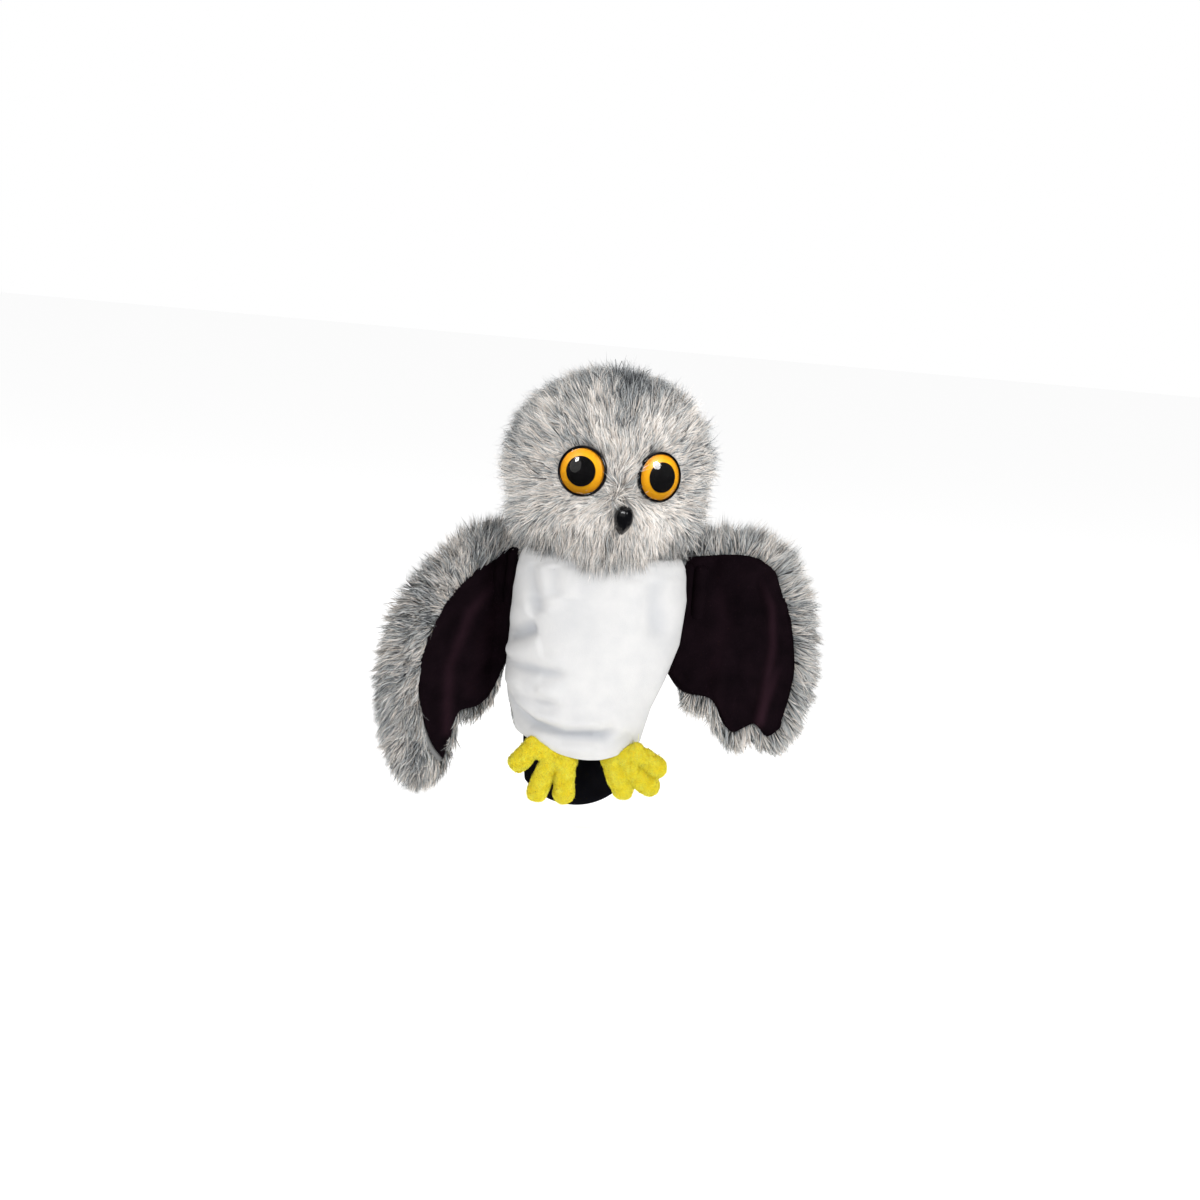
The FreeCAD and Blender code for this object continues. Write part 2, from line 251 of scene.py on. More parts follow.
def furTree():
    # Geometry nodes that cover a skin with strands. The skin carries comb (the way the fur lies),
    # pile (share of the full length) and tone (its shade).
    tree = bpy.data.node_groups.new("furCoat", "GeometryNodeTree")
    face = tree.interface
    face.new_socket("Geometry", in_out="INPUT", socket_type="NodeSocketGeometry")
    defaults = {"Density": 4e6, "Length": 0.016, "Width": 0.00055, "Frizz": 0.20, "Clump": 0.60,
                "Clump Size": 0.0050, "Tone Spread": 0.36, "Dark Share": 0.20}
    for name, value in defaults.items():
        face.new_socket(name, in_out="INPUT", socket_type="NodeSocketFloat").default_value = value
    face.new_socket("Seed", in_out="INPUT", socket_type="NodeSocketInt").default_value = 1
    face.new_socket("Strand", in_out="INPUT", socket_type="NodeSocketObject")
    face.new_socket("Geometry", in_out="OUTPUT", socket_type="NodeSocketGeometry")
    n = Nodes(tree)
    given = n.add("NodeGroupInput").outputs
    scatter = n.add("GeometryNodeDistributePointsOnFaces",
                    {"Mesh": given["Geometry"], "Density": given["Density"], "Seed": given["Seed"],
                     "Selection": n.math("GREATER_THAN", n.named("pile"), 0.05)})

    def keep(geometry, name, value, kind="FLOAT"):
        node = n.add("GeometryNodeStoreNamedAttribute", {"Geometry": geometry, "Name": name},
                     data_type=kind, domain="POINT")
        tree.links.new(value, node.inputs["Value"])
        return node.outputs["Geometry"]

    def chance(low, high, shift, kind="FLOAT"):
        node = n.add("FunctionNodeRandomValue", data_type=kind)
        numbers = [s for s in node.inputs if s.enabled and s.name in ("Min", "Max")]
        numbers[0].default_value, numbers[1].default_value = low, high
        tree.links.new(n.math("ADD", given["Seed"], shift), node.inputs["Seed"])
        return [s for s in node.outputs if s.enabled][0]

    points = keep(scatter.outputs["Points"], "up", scatter.outputs["Normal"], "FLOAT_VECTOR")
    points = keep(points, "root", n.add("GeometryNodeInputPosition").outputs[0], "FLOAT_VECTOR")
    points = keep(points, "stray", chance((-1, -1, -1), (1, 1, 1), 3, "FLOAT_VECTOR"), "FLOAT_VECTOR")
    reach = n.math("MULTIPLY", chance(0, 1, 5), chance(0.3, 0.65, 6))
    points = keep(points, "reach", n.math("ADD", reach, 0.56))
    # a shade for each strand, set to the middle of its column
    spread = n.math("MULTIPLY", n.math("SUBTRACT", n.math("ADD", chance(0, 1, 7), chance(0, 1, 8)), 1.0),
                    given["Tone Spread"])
    dark = n.math("MULTIPLY", n.math("LESS_THAN", chance(0, 1, 9), given["Dark Share"]), -0.38)
    tone = n.math("ADD", n.math("ADD", n.named("tone"), spread), dark)
    tone = n.math("MINIMUM", n.math("MAXIMUM", tone, 0.0), 0.999)
    whole = n.math("FLOOR", n.math("MULTIPLY", tone, furColumns))
    tone = n.math("DIVIDE", n.math("ADD", whole, 0.5), furColumns)
    points = keep(points, "shade", tone)
    strand = n.add("GeometryNodeObjectInfo", {"Object": given["Strand"]})
    copies = n.add("GeometryNodeInstanceOnPoints", {"Points": points, "Instance": strand.outputs["Geometry"]})
    hair = n.add("GeometryNodeRealizeInstances", {"Geometry": copies.outputs[0]}).outputs[0]

    up, comb, root = (n.named(x, "FLOAT_VECTOR") for x in ("up", "comb", "root"))
    stray = n.named("stray", "FLOAT_VECTOR")
    along, across = n.named("along"), n.named("across")
    length = n.math("MULTIPLY", n.math("MULTIPLY", given["Length"], n.named("pile")), n.named("reach"))
    lean = n.vector("LENGTH", comb)
    square = n.math("MULTIPLY", along, along)
    droop = n.math("MULTIPLY", n.math("MINIMUM", lean, 1.6), 0.42)
    rise = n.math("SUBTRACT", along, n.math("MULTIPLY", square, droop))
    run = n.math("ADD", n.math("MULTIPLY", along, 0.4), n.math("MULTIPLY", square, 0.6))
    noise = n.add("ShaderNodeTexNoise", {"Vector": root, "Detail": 1.0,
                                         "Scale": n.math("DIVIDE", 1.0, given["Clump Size"])})
    clump = n.vector("SUBTRACT", noise.outputs["Color"], (0.5, 0.5, 0.5))
    bend = n.vector("SCALE", clump, scale=n.math("MULTIPLY", given["Clump"], 4.0))
    bend = n.vector("ADD", bend, n.vector("SCALE", stray, scale=given["Frizz"]))
    centre = n.vector("ADD", n.vector("SCALE", up, scale=rise), n.vector("SCALE", comb, scale=run))
    centre = n.vector("ADD", centre, n.vector("SCALE", bend, scale=n.math("MULTIPLY", run, along)))
    upright = n.vector("SCALE", up, scale=n.math("SUBTRACT", 1.0, droop))
    tip = n.vector("ADD", n.vector("ADD", upright, comb), bend)
    centre = n.vector("SCALE", centre, scale=n.math("DIVIDE", length, n.vector("LENGTH", tip)))
    heading = n.vector("ADD", n.vector("ADD", up, comb), n.vector("SCALE", bend, scale=0.8))
    facing = n.vector("ADD", up, n.vector("SCALE", stray, scale=0.7))
    side = n.vector("NORMALIZE", n.vector("CROSS_PRODUCT", heading, facing))
    taper = n.math("SUBTRACT", 1.0, n.math("MULTIPLY", square, 0.85))
    half = n.math("MULTIPLY", n.math("MULTIPLY", n.math("MULTIPLY", across, taper), given["Width"]), 0.5)
    place = n.vector("ADD", n.vector("ADD", root, centre), n.vector("SCALE", side, scale=half))
    hair = n.add("GeometryNodeSetPosition", {"Geometry": hair, "Position": place}).outputs[0]
    # a shade's column across, root to tip upwards
    column = n.math("ADD", n.named("shade"), n.math("MULTIPLY", across, 0.42 / furColumns))
    height = n.math("ADD", n.math("MULTIPLY", along, 0.96), 0.02)
    spot = n.add("ShaderNodeCombineXYZ", {"X": column, "Y": height})
    store = n.add("GeometryNodeStoreNamedAttribute", {"Geometry": hair, "Name": "OFBake"},
                  data_type="FLOAT2", domain="CORNER")
    tree.links.new(spot.outputs[0], store.inputs["Value"])
    out = store.outputs["Geometry"]
    for name in ("stray", "reach", "comb", "pile", "tone", "root", "across"):
        drop = n.add("GeometryNodeRemoveAttribute", {"Geometry": out, "Name": name})
        out = drop.outputs["Geometry"]
    tree.links.new(out, n.add("NodeGroupOutput").inputs[0])
    return tree


strand = strandShape()
furCoat = furTree()


def growFur(skin, name, count, **settings):
    # a new piece: strands over the part of the skin whose pile isn't 0. count is about how many strands.
    hair = bpy.data.objects.new(name, skin.data.copy())
    bpy.context.scene.collection.objects.link(hair)
    mesh = hair.data
    pile = valuesOf(hair, "pile")
    area = sum(p.area for p in mesh.polygons if all(pile[v] > 0.05 for v in p.vertices))
    modifier = hair.modifiers.new("fur", "NODES")
    modifier.node_group = furCoat
    values = {"Density": count / max(area, 1e-9) * look["furDensity"], "Strand": strand, **settings}
    for item in furCoat.interface.items_tree:
        if item.in_out == "INPUT" and item.name in values:
            modifier[item.identifier] = values[item.name]
    mesh.update()
    finished(hair)
    mesh = hair.data
    up = np.empty(len(mesh.vertices) * 3, np.float32)
    mesh.attributes["up"].data.foreach_get("vector", up)
    mesh.attributes.remove(mesh.attributes["up"])
    mesh.shade_smooth()
    # soft light over the coat: the strands are lit as the skin under them is, partly
    own = normalsOf(hair)
    mesh.normals_split_custom_set_from_vertices(unit(own * 0.5 + unit(up.reshape(-1, 3)) * 0.5).tolist())
    print(name, len(mesh.polygons), "faces")
    return hair


print("fur system ready")

# materials
furPalette = [  # shade, colour from dark guard hair to cream
    (0.00, (0.022, 0.023, 0.026)), (0.20, (0.095, 0.100, 0.106)), (0.40, (0.330, 0.350, 0.360)),
    (0.55, (0.560, 0.580, 0.580)), (0.70, (0.700, 0.625, 0.560)), (0.85, (0.880, 0.820, 0.760)),
    (1.00, (0.960, 0.940, 0.910)),
]


def newMaterial(name):
    material = bpy.data.materials.new(name)
    material.use_nodes = True
    material.node_tree.nodes.clear()
    n = Nodes(material.node_tree)
    shader = n.add("ShaderNodeBsdfPrincipled")
    n.add("ShaderNodeOutputMaterial", {"Surface": shader.outputs[0]})
    return material, n, shader


def ramp(n, value, stops):
    node = n.add("ShaderNodeValToRGB", {"Fac": value})
    line = node.color_ramp
    while len(line.elements) < len(stops):
        line.elements.new(0.5)
    for element, (place, colour) in zip(line.elements, stops):
        element.position = place
        element.color = (*colour, 1)
    return node.outputs["Color"]


def furMaterial(name, palette, rootUndercoatAndPaintedShade=0.14, tipLift=1.30):
    material, n, shader = newMaterial(name)
    shade = n.add("ShaderNodeAttribute", attribute_name="shade").outputs["Fac"]
    along = n.add("ShaderNodeAttribute", attribute_name="along").outputs["Fac"]
    colour = ramp(n, shade, palette)
    # along each strand: darker roots, partly the fur's darker undercoat and partly painted shade deep in the
    # coat; lighter tips, the fur's own tipping
    light = ramp(n, along, [(0.0, (rootUndercoatAndPaintedShade,) * 3), (0.35, (0.60,) * 3), (0.70, (1.0,) * 3),
                            (1.0, (tipLift,) * 3)])
    mixed = n.add("ShaderNodeMix", {0: 1.0, 6: colour, 7: light}, data_type="RGBA", blend_type="MULTIPLY")
    n.tree.links.new(mixed.outputs[2], shader.inputs["Base Color"])
    shader.inputs["Roughness"].default_value = 0.7
    shader.inputs["Specular IOR Level"].default_value = 0.25
    shader.inputs["Sheen Weight"].default_value = 0.15
    shader.inputs["Sheen Roughness"].default_value = 0.4
    return material


greyFur = furMaterial("longGreyFur", furPalette)


def plainMaterial(name, colour, roughness, **values):
    material, n, shader = newMaterial(name)
    shader.inputs["Base Color"].default_value = (*colour, 1)
    shader.inputs["Roughness"].default_value = roughness
    for key, value in values.items():
        shader.inputs[key.replace("_", " ")].default_value = value
    return material


def paint(piece, material):
    piece.data.materials.clear()
    piece.data.materials.append(material)


underfur = plainMaterial("underfur", (0.20, 0.20, 0.20), 0.95)


def place(piece, body, replaced=(), slot=None):
    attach(piece, body)
    if replaced:
        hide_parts(*replaced)
    return piece


# head
head = {
    "pile": 0.0255,
    "facePile": 0.55,        # share of the full pile by the eyes
    "eyeAngle": 25.5,
    "strands": {"crown": 26000, "left": 34000, "right": 34000, "chin": 26000, "back": 37000},
}


def headDirections(places):
    # angles of each place as the face sees it: to the side and up, in degrees, and its direction
    out = unit(places - np.array(headCentre))
    turn = np.array(Matrix.Rotation(-headYaw, 3, "Z"))
    local = out @ turn.T
    aside = np.degrees(np.arctan2(local[:, 0], -local[:, 1]))
    up = np.degrees(np.arcsin(np.clip(local[:, 2], -1, 1)))
    return out, local, aside, up


def headSkin():
    bm = bmesh.new()
    bmesh.ops.create_icosphere(bm, subdivisions=6, radius=headRadius)
    bmesh.ops.translate(bm, verts=bm.verts, vec=headCentre)
    skin = fromBmesh(bm, "headBall")
    places = placesOf(skin)
    out, local, aside, up = headDirections(places)
    backwards = np.array(Matrix.Rotation(headYaw, 3, "Z")) @ np.array((0.0, 1.0, 0.0))
    # the fur radiates from a point between the eyes and the beak
    source = np.array(Matrix.Rotation(headYaw, 3, "Z")) @ np.array(
        (0.0, -math.cos(math.radians(10)), -math.sin(math.radians(10))))
    away = -(source - (out @ source)[:, None] * out)
    away = unit(away)
    down = np.array((0, 0, -1.0)) - (out @ np.array((0, 0, -1.0)))[:, None] * out
    front = out @ source
    frontness = smoothStep(front, -0.35, 0.35)[:, None]
    comb = unit(away * frontness + unit(down) * (1 - frontness) * 0.9)
    # the parting between the eyes is ruffled
    ruffle = np.stack([waves(places, 0.010, seed) for seed in (61, 62, 63)], 1)
    ruffle -= (ruffle * out).sum(1)[:, None] * out
    comb = unit(comb + 1.1 * ruffle * smoothStep(front, 0.93, 0.99)[:, None])
    lean = (1.25 + 0.15 * smoothStep(front, 0.2, 0.9))[:, None]
    # the chin and jaw fur hangs straight down over the top of the belly
    ahead = smoothStep(front, -0.25, 0.25)
    hang = (smoothStep(-up, 14, 44) * ahead)[:, None]
    forwards = -backwards
    comb = comb * lean * (1 - hang) + (np.array((0, 0, -1.25)) + 0.35 * forwards) * hang
    turns = [Matrix.Rotation(headYaw + math.radians(s * head["eyeAngle"]), 3, "Z") for s in (-1, 1)]
    eyes = [np.array(turn) @ np.array((0, -1.0, 0)) for turn in turns]
    toEye = np.degrees(np.arccos(np.clip(np.max([out @ e for e in eyes], axis=0), -1, 1)))
    inward = smoothStep(head["eyeAngle"] - np.abs(aside), -4, 8)
    pile = 1 - (1 - head["facePile"]) * smoothStep(front, 0.25, 0.85)
    pile *= 0.42 + 0.45 * inward + (0.58 - 0.45 * inward) * smoothStep(toEye, 16, 34)
    pile = np.where(toEye < 15.6, 0, pile)
    # where the neck goes in
    pile = np.where(up < -68, 0, pile)
    jaw = 1.0 - 0.22 * smoothStep(np.abs(aside), 15, 55)
    pile = np.maximum(pile, jaw * smoothStep(-up, 22, 44) * (up > -68) * ahead)
    pile *= 1 - 0.22 * smoothStep(-front, 0.3, 0.8)
    # short behind, where the head rolls over the collar
    pile *= 1 - 0.68 * smoothStep(-up, 12, 34) * (1 - ahead)
    pile *= 1 - 0.14 * smoothStep(up, 40, 70)
    tone = 0.72 + 0 * up
    tone += 0.20 * np.exp(-((np.abs(aside) - 23) / 13) ** 2 - ((up - 27) / 9) ** 2)       # brows
    tone += 0.12 * np.exp(-((np.abs(aside) - 9) / 7) ** 2 - ((up - 16) / 10) ** 2)        # beside the bridge
    tone -= 0.22 * smoothStep(up, 34, 56) * smoothStep(front, -0.6, 0.5)                  # crown
    vee = np.exp(-(aside / (4 + np.maximum(up, 0) * 0.30)) ** 2) * smoothStep(up, 6, 30)
    tone -= 0.30 * vee
    tone -= 0.18 * smoothStep(np.abs(aside), 48, 78)                                      # sides and back
    tone -= 0.08 * np.exp(-((toEye - 17) / 5) ** 2)                                       # about the eyes
    tone += 0.10 * np.exp(-((np.abs(aside) - 26) / 20) ** 2 - ((up + 30) / 14) ** 2)      # cheeks
    tone -= 0.22 * smoothStep(-up, 38, 58)                                                # under the chin
    tone += 0.10 * waves(places, 0.030, 4) + 0.06 * waves(places, 0.011, 6)
    setValues(skin, "comb", comb)
    setValues(skin, "pile", pile)
    setValues(skin, "tone", tone)
    return skin, local


headBall, headLocal = headSkin()


def patchOf(skin, name, chosen):
    # a copy of the skin that only grows fur on the chosen vertices
    copy = bpy.data.objects.new(name, skin.data.copy())
    pile = np.where(chosen, valuesOf(copy, "pile"), 0).astype(np.float32)
    copy.data.attributes["pile"].data.foreach_set("value", pile)
    return copy


crownEdge = 13 + 0.45 * np.maximum(headLocal[:, 2] * 1000 * headRadius - 8, 0)
isBack = headLocal[:, 1] * headRadius > 0.009
isChin = (headLocal[:, 2] * headRadius < -0.030) & ~isBack
isCrown = (np.abs(headLocal[:, 0]) * 1000 * headRadius < crownEdge) & (headLocal[:, 2] * headRadius > 0.008)
isCrown &= ~isBack & ~isChin
isLeft = (headLocal[:, 0] < 0) & ~isBack & ~isChin & ~isCrown
isRight = (headLocal[:, 0] >= 0) & ~isBack & ~isChin & ~isCrown
for index, (panel, chosen) in enumerate({"crown": isCrown, "left": isLeft, "right": isRight,
                                         "chin": isChin, "back": isBack}.items()):
    patch = patchOf(headBall, "patch", chosen)
    hair = growFur(patch, "headFur_" + panel, head["strands"][panel], Length=head["pile"], Seed=10 + index)
    bpy.data.objects.remove(patch)
    paint(hair, greyFur)
    place(hair, "head", ["head_fur_" + panel], "grey_fur")
paint(headBall, underfur)
place(headBall, "head", ["head_stuffing"], "grey_fur")
print("head fur grown")

# eyes and beak
def spun(name, profile, steps=72):
    # a turned piece about +Z from (radius, height) points, closed at its poles
    bm = bmesh.new()
    verts = [bm.verts.new((radius, 0, height)) for radius, height in profile]
    edges = [bm.edges.new(pair) for pair in zip(verts, verts[1:])]
    bmesh.ops.spin(bm, geom=verts + edges, axis=(0, 0, 1), cent=(0, 0, 0), angle=2 * math.pi,
                   steps=steps, use_merge=True)
    bmesh.ops.remove_doubles(bm, verts=bm.verts, dist=1e-6)
    bmesh.ops.recalc_face_normals(bm, faces=bm.faces)
    piece = fromBmesh(bm, name)
    places = placesOf(piece)
    setValues(piece, "radial", np.hypot(places[:, 0], places[:, 1]))
    setValues(piece, "turnedBy", np.arctan2(places[:, 1], places[:, 0]))
    piece.data.set_sharp_from_angle(angle=math.radians(38))
    return piece


def eyeTurn(side):
    # from a piece that looks along +Z to one that looks out of the face on this side
    aside = Matrix.Rotation(headYaw + math.radians(side * head["eyeAngle"]), 4, "Z")
    return Matrix.Translation(headCentre) @ aside @ Matrix.Rotation(math.radians(90), 4, "X")


eye = {"iris": 0.0144, "rim": 0.0014, "pupil": 0.0094, "base": 0.0562, "dome": 0.0046, "shell": 0.0005}


def irisMaterial():
    material, n, shader = newMaterial("amberIris")
    radial = n.add("ShaderNodeAttribute", attribute_name="radial").outputs["Fac"]
    share = n.math("DIVIDE", radial, eye["iris"])
    turnedBy = n.add("ShaderNodeAttribute", attribute_name="turnedBy").outputs["Fac"]
    ring = n.add("ShaderNodeCombineXYZ", {"X": n.math("MULTIPLY", turnedBy, 3.0),
                                          "Y": n.math("MULTIPLY", share, 1.5)})
    noise = n.add("ShaderNodeTexNoise", {"Vector": ring.outputs[0], "Scale": 2.5, "Detail": 4.0})
    colour = ramp(n, share, [(0.60, (0.84, 0.37, 0.006)), (0.72, (0.94, 0.47, 0.010)),
                             (0.90, (0.86, 0.38, 0.008)), (1.0, (0.55, 0.20, 0.004))])
    varied = n.add("ShaderNodeMix", {0: n.math("MULTIPLY", noise.outputs[0], 0.35), 6: colour,
                                     7: (0.80, 0.34, 0.006, 1)}, data_type="RGBA")
    n.tree.links.new(varied.outputs[2], shader.inputs["Base Color"])
    shader.inputs["Roughness"].default_value = 0.25
    shader.inputs["Coat Weight"].default_value = 0.1
    return material


def glossBlack():
    material, n, shader = newMaterial("glossBlack")
    where = n.add("ShaderNodeTexCoord").outputs["Object"]
    noise = n.add("ShaderNodeTexNoise", {"Vector": where, "Scale": 900.0, "Detail": 3.0})
    rough = n.add("ShaderNodeMapRange", {"Value": noise.outputs[0], "To Min": 0.14, "To Max": 0.30})
    n.tree.links.new(rough.outputs[0], shader.inputs["Roughness"])
    shader.inputs["Base Color"].default_value = (0.003, 0.003, 0.004, 1)
    shader.inputs["Specular IOR Level"].default_value = 0.3
    shader.inputs["Coat Weight"].default_value = 0.15
    shader.inputs["Coat Roughness"].default_value = 0.05
    return material


def clearLens():
    material, n, shader = newMaterial("clearLens")
    shader.inputs["Base Color"].default_value = (1, 0.97, 0.92, 1)
    shader.inputs["Roughness"].default_value = 0.02
    shader.inputs["Transmission Weight"].default_value = 1.0
    shader.inputs["IOR"].default_value = 1.42
    return material


def pupilBlack():
    # the black paint behind the clear dome, with a faint mottle
    material, n, shader = newMaterial("pupilBlack")
    where = n.add("ShaderNodeTexCoord").outputs["Object"]
    noise = n.add("ShaderNodeTexNoise", {"Vector": where, "Scale": 500.0})
    colour = ramp(n, noise.outputs[0], [(0.3, (0.001, 0.001, 0.002)), (0.7, (0.004, 0.004, 0.005))])
    n.tree.links.new(colour, shader.inputs["Base Color"])
    shader.inputs["Roughness"].default_value = 0.6
    shader.inputs["Specular IOR Level"].default_value = 0.05
    return material


iris, black, lens, pupilPaint = irisMaterial(), glossBlack(), clearLens(), pupilBlack()


def capLine(low, high, lift):
    # points on the eye's dome between two radii, raised by lift above the flat of the eye
    ball = (eye["iris"] ** 2 + eye["dome"] ** 2) / (2 * eye["dome"])
    return [(r, eye["base"] + lift + math.sqrt(ball ** 2 - r ** 2) - ball + eye["dome"])
            for r in np.linspace(low, high, 14)]


def makeEye(label, side):
    turn = eyeTurn(side)
    base, rim, edge, pupilEdge = eye["base"], eye["iris"] + eye["rim"], eye["iris"], eye["pupil"]
    backing = spun("eyeBacking_" + label, [
        (0, base - 0.0030), (rim * 0.9, base - 0.0030), (rim, base - 0.0018), (rim + 0.0001, base + 0.0004),
        (rim - 0.0003, base + 0.0011), (rim - 0.0009, base + 0.0014), (edge + 0.0001, base + 0.0011),
        (edge - 0.0001, base - 0.0008), (0, base - 0.0008)])
    under, inset = 0.0004, 0.0003
    ring = spun("eyeIris_" + label, [
        (pupilEdge - under, base - under), *capLine(pupilEdge - under, edge - inset, 0),
        (edge - inset, base - under), (pupilEdge - under, base - under)])
    pupil = spun("eyePupil_" + label, [
        (0, base), (pupilEdge, base), *reversed(capLine(0, pupilEdge, 0.0002))])
    low, high = capLine(0, edge - inset, 0.0004), capLine(0, edge - inset, 0.0004 + eye["shell"])
    cap = spun("eyeLens_" + label, low + list(reversed(high)))
    cap.visible_shadow = False
    slots = {"backing": "black_plastic", "iris": "amber_plastic", "pupil": "black_plastic",
             "dome": "clear_plastic"}
    for piece, part, material in ((backing, "backing", black), (ring, "iris", iris),
                                  (pupil, "pupil", pupilPaint), (cap, "dome", lens)):
        piece.data.transform(turn)
        paint(piece, material)
        place(piece, "head", ["eye_" + label + "_" + part], slots[part])


for label, side in sides.items():
    makeEye(label, side)


# the beak's outline, and where it sits on the face
beakShape = {
    "profile": [(0, 0.0088), (0.0030, 0.0084), (0.0052, 0.0060), (0.0061, 0.0022), (0.0058, -0.0018),
                (0.0046, -0.0056), (0.0030, -0.0086), (0.0014, -0.0106), (0, -0.0112)],
    "leanDeg": -6, "downDeg": 27.5, "asideDeg": 4, "standsOut": 0.0075,
}


def makeBeak():
    beak = spun("beakTip", beakShape["profile"], 48)
    places = placesOf(beak)
    # hooked: the tip bends in and the ridge stands out
    places[:, 1] *= 1.05
    ridge = 0.0012 * np.exp(-(places[:, 0] / 0.0016) ** 2)
    places[:, 1] += 260 * np.minimum(places[:, 2], 0) ** 2 * 0.06 - ridge
    setPlaces(beak, places)
    lean, down, aside = (math.radians(beakShape[k]) for k in ("leanDeg", "downDeg", "asideDeg"))
    beak.data.transform(Matrix.Rotation(lean, 4, "X"))
    spot = Matrix.Translation(headCentre) @ Matrix.Rotation(headYaw + aside, 4, "Z")
    spot = spot @ Matrix.Rotation(down, 4, "X")
    spot = spot @ Matrix.Translation((0, -headRadius - beakShape["standsOut"], 0))
    beak.data.transform(spot)
    addModifier(beak, "SUBSURF", levels=1, render_levels=1)
    finished(beak)
    paint(beak, black)
    place(beak, "head", ["beak"], "black_plastic")


makeBeak()
print("eyes and beak placed")


# cloth materials
def pileGroup():
    # short pile: a fine bump and a soft mottling of the colour
    tree = bpy.data.node_groups.new("shortPile", "ShaderNodeTree")
    face = tree.interface
    for name, value in (("Pile Size", 0.0006), ("Mottle Size", 0.012), ("Depth", 0.0004)):
        face.new_socket(name, in_out="INPUT", socket_type="NodeSocketFloat").default_value = value
    face.new_socket("Mottle", in_out="OUTPUT", socket_type="NodeSocketFloat")
    face.new_socket("Normal", in_out="OUTPUT", socket_type="NodeSocketVector")
    n = Nodes(tree)
    given = n.add("NodeGroupInput").outputs
    where = n.add("ShaderNodeTexCoord").outputs["Object"]
    noises = []
    for size, detail in (("Pile Size", 3.0), ("Mottle Size", 4.0)):
        scale = n.math("DIVIDE", 1.0, given[size])
        noises.append(n.add("ShaderNodeTexNoise", {"Vector": where, "Scale": scale, "Detail": detail}))
    fine, broad = noises
    both = n.math("ADD", n.math("MULTIPLY", fine.outputs[0], 0.7), n.math("MULTIPLY", broad.outputs[0], 0.5))
    bump = n.add("ShaderNodeBump", {"Height": both, "Distance": given["Depth"], "Strength": 0.6})
    out = n.add("NodeGroupOutput")
    mottle = n.math("ADD", n.math("MULTIPLY", broad.outputs[0], 0.7),
                    n.math("MULTIPLY", fine.outputs[0], 0.3))
    tree.links.new(mottle, out.inputs["Mottle"])
    tree.links.new(bump.outputs[0], out.inputs["Normal"])
    return tree


shortPile = pileGroup()


def clothMaterial(name, dark, light, roughness=0.85, sheen=0.4, sheenTint=(1, 1, 1), gloss=0.2,
                  paintedFoldColour=None, **sizes):
    material, n, shader = newMaterial(name)
    group = n.add("ShaderNodeGroup", node_tree=shortPile)
    for key, value in sizes.items():
        group.inputs[key.replace("_", " ")].default_value = value
    colour = ramp(n, group.outputs["Mottle"], [(0.32, dark), (0.68, light)])
    if paintedFoldColour:
        # painted shade in the belly's fold valleys and a painted sheen along the velvet's creases, mixed into
        # the colour
        rub = n.add("ShaderNodeAttribute", attribute_name="rub").outputs["Fac"]
        mixed = n.add("ShaderNodeMix", {0: rub, 6: colour, 7: (*paintedFoldColour, 1)}, data_type="RGBA")
        colour = mixed.outputs[2]
    n.tree.links.new(colour, shader.inputs["Base Color"])
    n.tree.links.new(group.outputs["Normal"], shader.inputs["Normal"])
    shader.inputs["Roughness"].default_value = roughness
    shader.inputs["Specular IOR Level"].default_value = gloss
    shader.inputs["Sheen Weight"].default_value = sheen
    shader.inputs["Sheen Roughness"].default_value = 0.35
    shader.inputs["Sheen Tint"].default_value = (*sheenTint, 1)
    return material


# the fold colour is painted shade on the white pile and a painted sheen on the black velvet
whitePile = clothMaterial("whiteShortPile", (0.590, 0.590, 0.594), (0.655, 0.650, 0.645), sheen=0.06,
                          paintedFoldColour=(0.40, 0.42, 0.455))
blackVelvet = clothMaterial("blackVelvet", (0.0030, 0.0015, 0.0025), (0.0075, 0.0035, 0.0055), sheen=0.03,
                            gloss=0.03, paintedFoldColour=(0.030, 0.012, 0.019), sheenTint=(0.7, 0.45, 0.6))
blackCloth = clothMaterial("blackCloth", (0.0022, 0.0022, 0.0035), (0.0055, 0.0055, 0.0080), sheen=0.03,
                           gloss=0.03)
yellowPile = clothMaterial("yellowPlush", (0.93, 0.64, 0.012), (1.0, 0.86, 0.04), sheen=0.2,
                           sheenTint=(1, 0.9, 0.5), Pile_Size=0.0009, Mottle_Size=0.006, Depth=0.0007)

